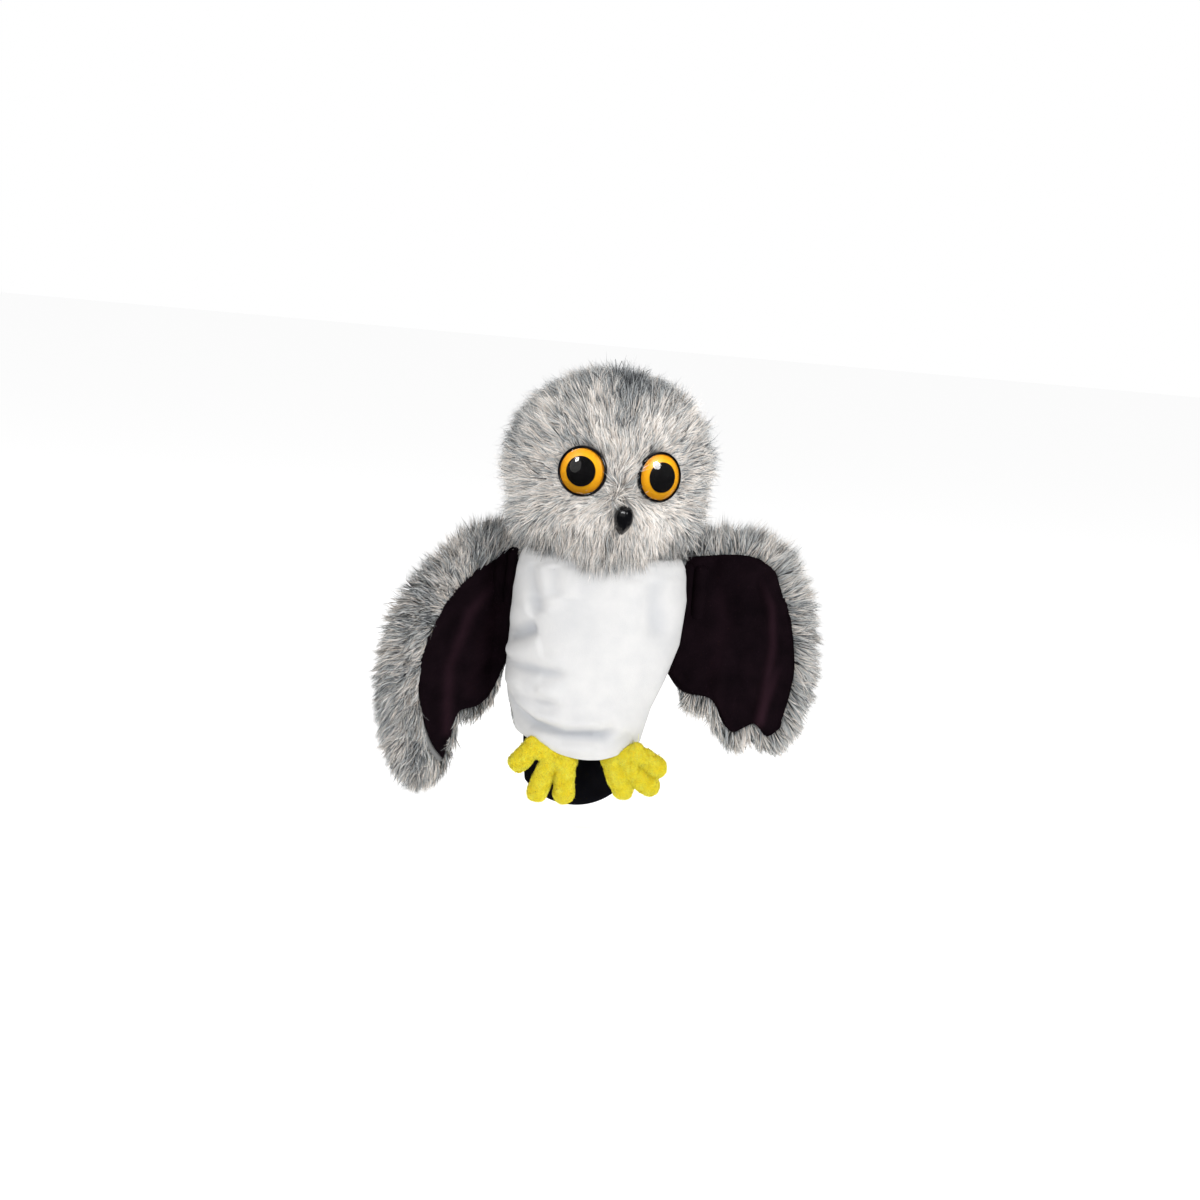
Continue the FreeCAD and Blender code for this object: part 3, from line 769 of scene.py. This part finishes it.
# torso
torso = {
    "heights": [-0.002, 0.015, 0.034, 0.052, 0.076, 0.104, 0.136],
    "asides": [-0.0010, -0.0045, -0.0060, -0.0040, 0.0, 0.0010, 0.0010],
    "halfWidths": [0.0340, 0.0395, 0.0455, 0.0505, 0.0540, 0.0550, 0.0505],
    "halfDepths": [0.0250, 0.0280, 0.0315, 0.0350, 0.0380, 0.0385, 0.0370],
    "shoulder": [(1.0, 0.112), (0.992, 0.119), (0.965, 0.1255), (0.915, 0.1300), (0.84, 0.1310),
                 (0.74, 0.1290), (0.64, 0.1262), (0.57, 0.1240)],
    "hemRadius": 0.058,
    "foldDepth": 1.6,
    "rearHem": 0.015,
    # soft folds in the front cloth: how deep, how wide, and where they run across (x, z)
    "folds": [
        (0.0030, 0.0040, [(-0.054, 0.036), (-0.046, 0.029), (-0.034, 0.0205), (-0.014, 0.0155),
                          (0.010, 0.0170), (0.024, 0.022)]),
        (0.0018, 0.0036, [(-0.054, 0.045), (-0.046, 0.039), (-0.030, 0.034), (-0.014, 0.033)]),
        (0.0020, 0.0042, [(-0.056, 0.058), (-0.046, 0.0555), (-0.030, 0.054), (-0.012, 0.054)]),
        (0.0010, 0.0035, [(-0.052, 0.051), (-0.040, 0.045), (-0.030, 0.043)]),
        (0.0022, 0.0050, [(-0.052, 0.074), (-0.043, 0.079), (-0.036, 0.082)]),
        (0.0012, 0.0045, [(-0.044, 0.122), (-0.040, 0.104), (-0.037, 0.088)]),
        (0.0010, 0.0050, [(-0.030, 0.122), (-0.028, 0.100)]),
        (0.0009, 0.0060, [(0.034, 0.120), (0.036, 0.098), (0.040, 0.080)]),
        (0.0008, 0.0040, [(0.004, 0.009), (0.020, 0.0125), (0.030, 0.019)]),
    ],
}


def lineDistance(x, z, line):
    # how far each place is from the line, and how far along it is, 0 to 1
    best = np.full(len(x), 1e9)
    share = np.zeros(len(x))
    count = len(line) - 1
    for i in range(count):
        a, b = np.array(line[i]), np.array(line[i + 1])
        d = b - a
        t = np.clip(((x - a[0]) * d[0] + (z - a[1]) * d[1]) / (d @ d), 0, 1)
        gap = np.hypot(x - a[0] - t * d[0], z - a[1] - t * d[1])
        share = np.where(gap < best, (i + t) / count, share)
        best = np.minimum(best, gap)
    return best, share


def torsoGrid(name, front, grow, columns=120, rows=110, folds=False, lowest=None, overlap=0.0):
    # half of the sleeve as a sheet, from the hem to the neck
    piece = unitGrid(name, columns, rows)
    grid = placesOf(piece)
    s, t = grid[:, 0], grid[:, 1]
    angle = (-math.pi * (1 - s) if front else math.pi * s)
    angle = angle * (1 + overlap) + (1 if front else -1) * overlap * math.pi / 2
    cosines = np.cos(angle)
    wide = np.interp(0.0, torso["heights"], torso["halfWidths"])
    low = np.full(len(s), torso["rearHem"] if lowest is None else lowest)
    if front:
        x = cosines * wide * 1.10 - 0.0025
        low = np.minimum(torso["hemRadius"] - np.sqrt(np.maximum(torso["hemRadius"] ** 2 - x ** 2, 0)),
                         torso["rearHem"])
    # rows climb the wall, then roll over the shoulder to the neck
    wall = 0.74
    scales = np.array([p[0] for p in torso["shoulder"]])
    tops = np.array([p[1] for p in torso["shoulder"]])
    z = np.where(t < wall, low + (tops[0] - low) * t / wall,
                 np.interp((t - wall) / (1 - wall), np.linspace(0, 1, len(tops)), tops))
    scale = np.where(t < wall, 1.0, np.interp((t - wall) / (1 - wall), np.linspace(0, 1, len(tops)), scales))
    zWall = np.minimum(z, 0.112)
    # the back tucks in under the front at the side seams
    growHere = grow - (0 if front else 0.0018) * (1 - smoothStep(np.abs(np.sin(angle)), 0, 0.35))
    halfWidth = (np.interp(zWall, torso["heights"], torso["halfWidths"]) + growHere) * scale
    halfDepth = (np.interp(zWall, torso["heights"], torso["halfDepths"]) + growHere) * scale
    aside = np.interp(zWall, torso["heights"], torso["asides"])
    places = np.stack([aside + halfWidth * cosines, halfDepth * np.sin(angle), z], 1)
    setPlaces(piece, places)
    addModifier(piece, "SMOOTH", factor=0.5, iterations=6)
    finished(piece)
    places, out = placesOf(piece), normalsOf(piece)
    if (out * places * (1, 1, 0)).sum() < 0:
        piece.data.flip_normals()
        out = -out
    if folds:
        x, z = places[:, 0], places[:, 2]
        push = 0.0006 * waves(places, 0.045, 11)
        for depth, width, line in torso["folds"]:
            depth *= torso["foldDepth"]
            gap, share = lineDistance(x, z, line)
            fade = 1 - smoothStep(share, 0.75, 1.0)
            if line[0][0] > -0.05:
                # it starts clear of the side seam, so it fades in as well
                fade = smoothStep(share, 0.0, 0.12) * (1 - smoothStep(share, 0.8, 1.0))
            push -= depth * np.exp(-(gap / width) ** 2) * fade
            push += 0.55 * depth * np.exp(-((gap - 2.1 * width) / (1.3 * width)) ** 2) * fade
        push *= smoothStep(-places[:, 1], 0.0, 0.012)
        places += out * push[:, None]
        setPlaces(piece, places)
        # painted shade in the fold valleys: the deeper the valley, the more of the fold colour
        setValues(piece, "rub", np.clip(-push / 0.0060, 0, 0.8))
    return piece


def makeTorso():
    belly = torsoGrid("bellyCloth", True, 0.0, folds=True, columns=150, rows=140)
    addModifier(belly, "SOLIDIFY", thickness=0.0018, offset=-1)
    addModifier(belly, "SUBSURF", levels=1, render_levels=1)
    finished(belly)
    paint(belly, whitePile)
    place(belly, "torso", ["belly_panel"], "white_velboa")

    back = torsoGrid("backCloth", False, 0.0004, columns=90, rows=80, overlap=0.02)
    addModifier(back, "SOLIDIFY", thickness=0.0016, offset=-1)
    finished(back)
    paint(back, underfur)
    skin = torsoGrid("patch", False, 0.0006, columns=90, rows=80, overlap=0.02)
    places, out = placesOf(skin), normalsOf(skin)
    down = np.array((0, 0, -1.0)) - (out @ np.array((0, 0, -1.0)))[:, None] * out
    # short by the side seams, where the belly and the wings meet it, but for a tuft low on the left
    behind = places[:, 1] / 0.035
    tuft = 0.55 * smoothStep(-places[:, 0], 0.02, 0.03) * (1 - smoothStep(places[:, 2], 0.028, 0.040))
    shoulder = 0.9 * smoothStep(places[:, 2], 0.116, 0.124) * smoothStep(np.abs(places[:, 0]), 0.030, 0.044)
    bySeam = np.maximum(tuft, shoulder) * smoothStep(behind, 0.02, 0.12)
    pile = np.maximum(smoothStep(behind, 0.22, 0.70), bySeam)
    setValues(skin, "pile", pile)
    backwards = np.array((0, 1.0, 0)) * (0.8 * (1 - smoothStep(behind, 0.2, 0.8)))[:, None]
    setValues(skin, "comb", unit(down) * 1.1 + backwards)
    setValues(skin, "tone", 0.46 + 0.07 * waves(places, 0.03, 21))
    fur = growFur(skin, "backFur", 37000, Length=0.014, Seed=30)
    bpy.data.objects.remove(skin)
    paint(fur, greyFur)
    place(back, "torso", [], "grey_fur")
    place(fur, "torso", ["back_panel"], "grey_fur")

    front = torsoGrid("liningFront", True, -0.0030, columns=100, rows=90, folds=True)
    rear = torsoGrid("liningBack", False, -0.0030, columns=60, rows=50)
    for piece in (front, rear):
        addModifier(piece, "SOLIDIFY", thickness=0.0010, offset=-1)
        finished(piece)
        paint(piece, blackCloth)
    place(front, "torso", ["lining_front"], "black_velour")
    place(rear, "torso", ["lining_back"], "black_velour")


makeTorso()
print("torso made")

# wings
wingY = joint("wing_right_clap")["pos_m"][1]
wingAxis = joint("wing_right_clap")["pos_m"][0]
wings = {
    # the four edges of the wing, seen from the front: (distance aside, height)
    "right": {
        "top": [(0.050, 0.132), (0.060, 0.134), (0.0775, 0.137), (0.090, 0.138), (0.103, 0.1345),
                (0.112, 0.127)],
        "outer": [(0.112, 0.127), (0.116, 0.117), (0.123, 0.104), (0.1265, 0.092), (0.1305, 0.068),
                  (0.129, 0.052), (0.125, 0.030)],
        "bottom": [(0.047, 0.057), (0.058, 0.045), (0.077, 0.041), (0.084, 0.029), (0.092, 0.0215),
                   (0.099, 0.025), (0.106, 0.028), (0.114, 0.021), (0.125, 0.030)],
        "inner": [(0.050, 0.132), (0.054, 0.119), (0.054, 0.108), (0.052, 0.088), (0.051, 0.074),
                  (0.047, 0.057)],
        "flat": (0.080, 0.112), "fold": 0.0, "band": 0.0035, "length": 0.0180,
        "centre": (0.074, 0.092),
        # velvet folds: how high, how wide, and where they run
        "creases": [(0.0022, 0.0030, [(0.098, 0.128), (0.110, 0.105), (0.113, 0.080), (0.110, 0.050),
                                      (0.108, 0.030)]),
                    (0.0016, 0.0030, [(0.118, 0.070), (0.112, 0.045), (0.109, 0.028)]),
                    (-0.0014, 0.006, [(0.075, 0.120), (0.080, 0.090), (0.078, 0.060)])],
    },
    "left": {
        "top": [(0.049, 0.131), (0.056, 0.133), (0.066, 0.134), (0.078, 0.128), (0.095, 0.113)],
        "outer": [(0.095, 0.113), (0.108, 0.094), (0.116, 0.078), (0.121, 0.058), (0.122, 0.040),
                  (0.118, 0.012), (0.110, -0.009), (0.101, -0.020)],
        "bottom": [(0.050, 0.070), (0.056, 0.050), (0.062, 0.034), (0.070, 0.025), (0.081, 0.021),
                   (0.085, 0.004), (0.091, -0.015), (0.101, -0.020)],
        "inner": [(0.049, 0.131), (0.051, 0.115), (0.052, 0.098), (0.051, 0.084), (0.050, 0.070)],
        "flat": (0.070, 0.115), "fold": math.radians(38), "band": 0.015, "length": 0.0162,
        "centre": (0.072, 0.080),
        "creases": [(0.0018, 0.004, [(0.062, 0.112), (0.080, 0.085), (0.090, 0.050), (0.088, 0.010)]),
                    (-0.0014, 0.005, [(0.058, 0.100), (0.070, 0.070), (0.076, 0.035)])],
    },
}


def along(line, share):
    # places on a smooth line through the points, by share of its length
    points = np.array(line)
    steps = np.concatenate([[0], np.cumsum(np.hypot(*np.diff(points, axis=0).T))])
    steps /= steps[-1]
    # Catmull-Rom through unevenly spaced points
    ends = np.vstack([2 * points[0] - points[1], points, 2 * points[-1] - points[-2]])
    knots = np.concatenate([[2 * steps[0] - steps[1]], steps, [2 * steps[-1] - steps[-2]]])
    slopes = (ends[2:] - ends[:-2]) / (knots[2:] - knots[:-2])[:, None]
    index = np.clip(np.searchsorted(steps, share, side="right") - 1, 0, len(points) - 2)
    width = (steps[index + 1] - steps[index])[:, None]
    u = ((share - steps[index]) / width[:, 0])[:, None]
    a, b = points[index], points[index + 1]
    ma, mb = slopes[index] * width, slopes[index + 1] * width
    return ((2 * u**3 - 3 * u**2 + 1) * a + (u**3 - 2 * u**2 + u) * ma
            + (3 * u**2 - 2 * u**3) * b + (u**3 - u**2) * mb)


def wingFlat(wing, s, t):
    # aside and height of the place s across and t down a wing
    top, bottom = along(wing["top"], s), along(wing["bottom"], s)
    inner, outer = along(wing["inner"], t), along(wing["outer"], t)
    s, t = s[:, None], t[:, None]
    c00, c10 = np.array(wing["top"][0]), np.array(wing["top"][-1])
    c01, c11 = np.array(wing["bottom"][0]), np.array(wing["bottom"][-1])
    corners = (1 - s) * (1 - t) * c00 + s * (1 - t) * c10 + (1 - s) * t * c01 + s * t * c11
    return (1 - t) * top + t * bottom + (1 - s) * inner + s * outer - corners


def wingDepth(wing, side, aside, height):
    # how far forward a wing's middle stands, folded and a little cupped
    out = np.maximum(aside - wingAxis, 0)
    cup = 0.0016 * waves(np.stack([aside, height, 0 * aside], 1), 0.07, 5 + side)
    return wingY - out * math.tan(wing["fold"]) + cup - 14 * (out * 0.5) ** 2 * 0.35


def makeWing(label, side):
    wing = wings[label]
    skin = unitGrid("patch", 110, 130)
    grid = placesOf(skin)
    s, t = grid[:, 0].astype(float), 1 - grid[:, 1].astype(float)
    flat = wingFlat(wing, s, t)
    depth = wingDepth(wing, side, flat[:, 0], flat[:, 1])
    setPlaces(skin, np.stack([side * flat[:, 0], depth, flat[:, 1]], 1))
    setValues(skin, "s", s)
    setValues(skin, "t", t)
    if normalsOf(skin)[:, 1].mean() > 0:
        skin.data.flip_normals()
    lining = bpy.data.objects.new("wingLining_" + label, skin.data.copy())
    bpy.context.scene.collection.objects.link(lining)
    addModifier(skin, "SOLIDIFY", thickness=0.0046, offset=-1, use_even_offset=False)
    addModifier(skin, "SMOOTH", factor=0.5, iterations=3)
    finished(skin)
    places, out = placesOf(skin), normalsOf(skin)
    facing = -out[:, 1]          # 1 looks forwards, as the lining does
    aside, height = side * places[:, 0], places[:, 2]
    spanS, spanT = 0.068, 0.115
    shares = np.linspace(0, 1, 40)
    leading = np.vstack([along(wing["top"], shares)[8:], along(wing["outer"], shares)[1:]])
    trailing = along(wing["bottom"], shares)
    toLeading = lineDistance(aside, height, leading)[0]
    toTrailing = lineDistance(aside, height, trailing)[0]
    band = wing["band"] * (1 + 0.08 * waves(places, 0.05, 9))
    isFront = facing > 0.35
    pile = np.where(isFront & (toLeading > band) & (toTrailing > 0.0015), 0.0, 1.0)
    pile *= np.maximum(smoothStep(aside, 0.054, 0.066), smoothStep(height, 0.120, 0.128))
    # longer on the flat than round the rim, where it stands straight out
    pile *= 1 + 0.30 * smoothStep(np.abs(out[:, 1]), 0.5, 0.9)
    pile *= 1 - 0.42 * smoothStep(aside, 0.115, 0.150)
    pile *= np.where(isFront, 0.9, 1.0)
    # the pile is a little shorter along the trailing edge
    pile *= 0.85 + 0.15 * smoothStep(toTrailing, 0.0, 0.03)
    centre = np.array(wing["centre"])
    away = np.stack([side * (aside - centre[0]), 0 * aside, height - centre[1]], 1)
    away[:, 1] = -away[:, 0] * side * math.tan(wing["fold"])
    away = away - (away * out).sum(1)[:, None] * out
    comb = unit(away) * 1.15
    tone = 0.60 + 0.08 * waves(places, 0.022, 31) - 0.05 * smoothStep(facing, -0.2, 0.6)
    setValues(skin, "comb", comb)
    setValues(skin, "pile", pile)
    setValues(skin, "tone", tone)
    body = bpy.data.objects.new("wingPad_" + label, skin.data.copy())
    bpy.context.scene.collection.objects.link(body)
    pieces = []
    for part, seed, count, low, high in (("Edge", 41, 37500, 0, 0.016), ("Back", 42, 37500, 0.016, 1)):
        near = np.minimum(toLeading, toTrailing)
        chosen = (near >= low) & (near < high)
        patch = patchOf(skin, "patch", chosen)
        fur = growFur(patch, "wingFur" + part + "_" + label, count, Length=wing["length"], Seed=seed + side)
        bpy.data.objects.remove(patch)
        paint(fur, greyFur)
        pieces.append(fur)
    bpy.data.objects.remove(skin)
    paint(body, underfur)
    # velvet lining, set in from the edge and folded
    places = placesOf(lining)
    grid = {name: valuesOf(lining, name).astype(float) for name in ("s", "t")}
    inset = wing["band"] / spanS * 0.75
    s2 = grid["s"] * (1 - inset)
    t2 = inset * spanS / spanT + grid["t"] * (1 - inset * spanS / spanT - 0.012)
    flat = wingFlat(wing, s2, t2)
    depth = wingDepth(wing, side, flat[:, 0], flat[:, 1]) - 0.0009
    lift, rub = np.zeros(len(flat)), np.zeros(len(flat))
    for high, width, line in wing["creases"]:
        gap, share = lineDistance(flat[:, 0], flat[:, 1], line)
        lift += high * np.exp(-(gap / width) ** 2) * smoothStep(share, 0, 0.2)
        # painted sheen along each velvet crease, stronger on the raised creases
        rub += (0.34 if high > 0 else 0.10) * np.exp(-(gap / (width * 0.8)) ** 2) * smoothStep(share, 0, 0.3)
    edge = np.minimum.reduce([grid["s"], 1 - grid["s"], grid["t"], 1 - grid["t"]])
    lift += 0.0010 * waves(np.stack([flat[:, 0], 0 * lift, flat[:, 1]], 1), 0.018, 51 + side)
    depth -= (lift + 0.0012) * smoothStep(edge, 0.0, 0.05)
    setValues(lining, "rub", np.clip(rub, 0, 1))
    setPlaces(lining, np.stack([side * flat[:, 0], depth, flat[:, 1]], 1))
    addModifier(lining, "SOLIDIFY", thickness=0.0009, offset=1)
    finished(lining)
    paint(lining, blackVelvet)
    for piece in (lining, body, *pieces):
        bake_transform(piece)
    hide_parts("wing_" + label + "_lining")
    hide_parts("wing_" + label + "_padding")
    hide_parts("wing_" + label + "_fur")


def makeSeamRoll(label, side):
    # the rolled seam that the wing turns on, and the welt that sews it to the side of the torso
    low, high = (corner[2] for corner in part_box("wing_" + label + "_seam_roll"))
    rolled = ["wing_" + label + "_seam_" + part for part in ("roll", "fur", "lining")]
    for name, radius, middle, body, replaced in (
            ("wingRoll_", 0.0052, wingAxis, "wing_" + label + "_root", rolled),
            ("wingWelt_", 0.0050, wingAxis - 0.0085, "torso", [])):
        steps = np.radians(np.linspace(0, 90, 7))
        lower = [(radius * math.sin(a), low + radius - radius * math.cos(a)) for a in steps]
        upper = [(radius * math.cos(a), high - radius + radius * math.sin(a)) for a in steps]
        roll = spun(name + label, lower + upper, 32)
        roll.data.transform(Matrix.Translation((side * middle, wingY, 0)))
        paint(roll, blackVelvet)
        place(roll, body, replaced, "black_velour")


for label, side in sides.items():
    makeWing(label, side)
    makeSeamRoll(label, side)
print("wings made")


# feet
feet = {
    "radius": 0.0064,
    "thin": 0.92,
    # three toes and the instep across them, (x, z) along each
    "left": [[(-0.0140, -0.0030), (-0.0310, 0.0050), (-0.0405, -0.0045)],
             [(-0.0200, 0.0020), (-0.0230, -0.0080), (-0.0275, -0.0222)],
             [(-0.0100, 0.0000), (-0.0112, -0.0110), (-0.0108, -0.0222)],
             [(-0.0330, 0.0080), (-0.0200, 0.0030), (-0.0090, -0.0010)]],
    "right": [[(0.0180, 0.0005), (0.0210, -0.0080), (0.0262, -0.0165)],
              [(0.0240, 0.0025), (0.0330, -0.0070), (0.0425, -0.0130)],
              [(0.0300, 0.0060), (0.0380, 0.0040), (0.0460, -0.0010)],
              [(0.0330, 0.0085), (0.0240, 0.0040), (0.0160, 0.0010)]],
}


def makeFoot(label):
    middle = Vector(joint("foot_" + label + "_swing")["pos_m"])
    bm = bmesh.new()
    for index, line in enumerate(feet[label]):
        for share in np.linspace(0, 1, 9):
            at = along(line, np.array([share]))[0]
            radius = feet["radius"] * (1 if index < 3 else 0.82) * (0.90 + 0.12 * share)
            bmesh.ops.create_icosphere(bm, subdivisions=3, radius=radius,
                                       matrix=Matrix.Translation((at[0], middle.y, at[1])))
    foot = fromBmesh(bm, "footPlush_" + label)
    addModifier(foot, "REMESH", mode="VOXEL", voxel_size=0.0008)
    addModifier(foot, "SMOOTH", factor=0.5, iterations=5)
    finished(foot)
    places = placesOf(foot)
    places[:, 1] = middle.y + (places[:, 1] - middle.y) * feet["thin"]
    # a pinched seam round the middle, and puckers from the stuffing
    out = normalsOf(foot)
    push = -0.0005 * np.exp(-((places[:, 1] - middle.y) / 0.0008) ** 2) + 0.0003 * waves(places, 0.008, 61)
    setPlaces(foot, places + out * push[:, None])
    for face in foot.data.polygons:
        face.use_smooth = True
    places, out = placesOf(foot), normalsOf(foot)
    setValues(foot, "comb", np.tile((0, 0, -0.8), (len(places), 1)))
    setValues(foot, "pile", np.ones(len(places)))
    setValues(foot, "tone", 0.62 + 0.15 * waves(places, 0.007, 71))
    fuzz = growFur(foot, "footFuzz_" + label, 26000, Length=0.0016, Width=0.00028, Seed=50,
                   **{"Dark Share": 0.0, "Tone Spread": 0.25, "Clump Size": 0.0012})
    paint(fuzz, yellowFuzz)
    paint(foot, yellowPile)
    body = "foot_" + label
    place(foot, body, [body + "_upper", body + "_sole", body + "_stuffing"], "yellow_plush")
    place(fuzz, body, [], "yellow_plush")


yellowPalette = [(0.0, (1.0, 0.72, 0.012)), (0.5, (1.0, 0.88, 0.035)), (1.0, (1.0, 0.97, 0.12))]
yellowFuzz = furMaterial("yellowFuzz", yellowPalette, rootUndercoatAndPaintedShade=0.9, tipLift=1.30)
for label in sides:
    makeFoot(label)
print("feet made")


# tail
def makeTail():
    hinge = Vector(joint("tail_swing")["pos_m"])
    half = 0.035
    tail = unitGrid("tailFlap", 90, 70)
    grid = placesOf(tail)
    s, t = grid[:, 0] * 2 - 1, 1 - grid[:, 1]
    # the sides draw in and the lower edge is an arc
    wide = half * np.sqrt(np.maximum(1 - 0.20 * t**2, 0))
    x = s * wide
    top = hinge.z + 0.006
    radius, centre = 0.040, 0.005
    bottom = centre - np.sqrt(np.maximum(radius**2 - x**2, 1e-6))
    z = top + (bottom - top) * t
    edge = np.minimum.reduce([(1 - np.abs(s)) * half, (1 - t) * 0.045])
    ripple = 0.0006 * waves(np.stack([x, 0 * x, z], 1), 0.02, 81)
    y = hinge.y - 0.0030 * np.sqrt(np.clip(edge / 0.004, 0, 1)) - ripple
    y += 0.6 * x**2 - 0.004 * t
    setPlaces(tail, np.stack([hinge.x + x, y, z], 1))
    if normalsOf(tail)[:, 1].mean() > 0:
        tail.data.flip_normals()
    addModifier(tail, "SOLIDIFY", thickness=0.0052, offset=-1)
    addModifier(tail, "SMOOTH", factor=0.5, iterations=4)
    finished(tail)
    paint(tail, blackCloth)
    place(tail, "tail", ["tail_front", "tail_back", "tail_padding"], "black_velour")


makeTail()


# neck
def makeCollar():
    # a short sleeve of fur cloth about the neck, and the lining sleeve inside it
    reach = 0.0283
    for name, radius, node, body in (("neckCollar", reach, "neck_collar", "neck_turn"),
                                     ("neckSleeve", reach - 0.0036, "neck_lining", "neck_nod")):
        angles = np.radians(np.linspace(52, 118, 24))
        ring = spun(name, [(radius * math.sin(a), radius * math.cos(a)) for a in angles], 96)
        ring.data.transform(Matrix.Translation(neck))
        addModifier(ring, "SOLIDIFY", thickness=0.0012, offset=0)
        finished(ring)
        paint(ring, underfur if body == "neck_turn" else blackCloth)
        place(ring, body, [node], "grey_fur" if body == "neck_turn" else "black_velour")


makeCollar()
print("tail and neck made")

# camera, light and floor
stage = {"seen": 1.0, "soft": 0.30, "mirrored": 0.04, "key": 25, "fill": 2, "window": 8, "top": 6,
         "floorGlow": 0.70}


def setCamera():
    lean = math.radians(look["leanDeg"])
    height = math.radians(look["cameraHeightDeg"])
    target = Vector(look["target"])
    back = Vector((0, -math.cos(height), math.sin(height)))
    upwards = Vector((-math.sin(lean), 0, math.cos(lean)))
    sideways = upwards.cross(back).normalized()
    upwards = back.cross(sideways).normalized()
    turn = Matrix((sideways, upwards, back)).transposed()
    camera = bpy.data.objects.new("camera", bpy.data.cameras.new("camera"))
    bpy.context.scene.collection.objects.link(camera)
    camera.matrix_world = Matrix.Translation(target + back * look["cameraDistance"]) @ turn.to_4x4()
    camera.data.sensor_width = 36
    camera.data.lens = 36 * look["cameraDistance"] / look["pictureWidth"]
    camera.data.clip_end = 50
    bpy.context.scene.camera = camera


def addLight(name, place, size, power, target=(0, 0, 0.1)):
    lamp = bpy.data.lights.new(name, "AREA")
    lamp.shape = "DISK"
    lamp.size = size
    lamp.energy = power
    piece = bpy.data.objects.new(name, lamp)
    bpy.context.scene.collection.objects.link(piece)
    piece.location = place
    piece.rotation_euler = (Vector(target) - Vector(place)).to_track_quat("-Z", "Y").to_euler()
    return piece


def setStage():
    world = bpy.data.worlds.new("studio")
    bpy.context.scene.world = world
    world.use_nodes = True
    n = Nodes(world.node_tree)
    background = world.node_tree.nodes["Background"]
    background.inputs["Color"].default_value = (1, 1, 1, 1)
    # a bright sweep behind, softer light from it, and little of it mirrored in glossy parts
    path = n.add("ShaderNodeLightPath").outputs
    seen = n.math("MULTIPLY", path["Is Camera Ray"], stage["seen"] - stage["soft"])
    mirrored = n.math("MULTIPLY", path["Is Glossy Ray"], stage["mirrored"] - stage["soft"])
    total = n.math("ADD", n.math("ADD", seen, mirrored), stage["soft"])
    world.node_tree.links.new(total, background.inputs["Strength"])
    addLight("key", (1.30, -1.25, 1.15), 0.8, stage["key"])
    addLight("fill", (-1.4, -1.2, 0.5), 1.2, stage["fill"])
    addLight("window", (-1.15, -0.97, 0.93), 0.38, stage["window"])
    addLight("top", (0, 0.5, 1.8), 1.2, stage["top"])
    bm = bmesh.new()
    bmesh.ops.create_grid(bm, x_segments=1, y_segments=1, size=12)
    bmesh.ops.translate(bm, verts=bm.verts, vec=(0, 0, boundsBefore[0][2] - 0.012))
    floor = fromBmesh(bm, "floor")
    paint(floor, plainMaterial("paleFloor", (0.96, 0.96, 0.96), 0.9, Emission_Color=(1, 1, 1, 1),
                               Emission_Strength=stage["floorGlow"]))
    floor.visible_glossy = False
    floor.visible_transmission = False
    bpy.context.scene.view_settings.view_transform = "Standard"


setCamera()
setStage()
print("stage set")
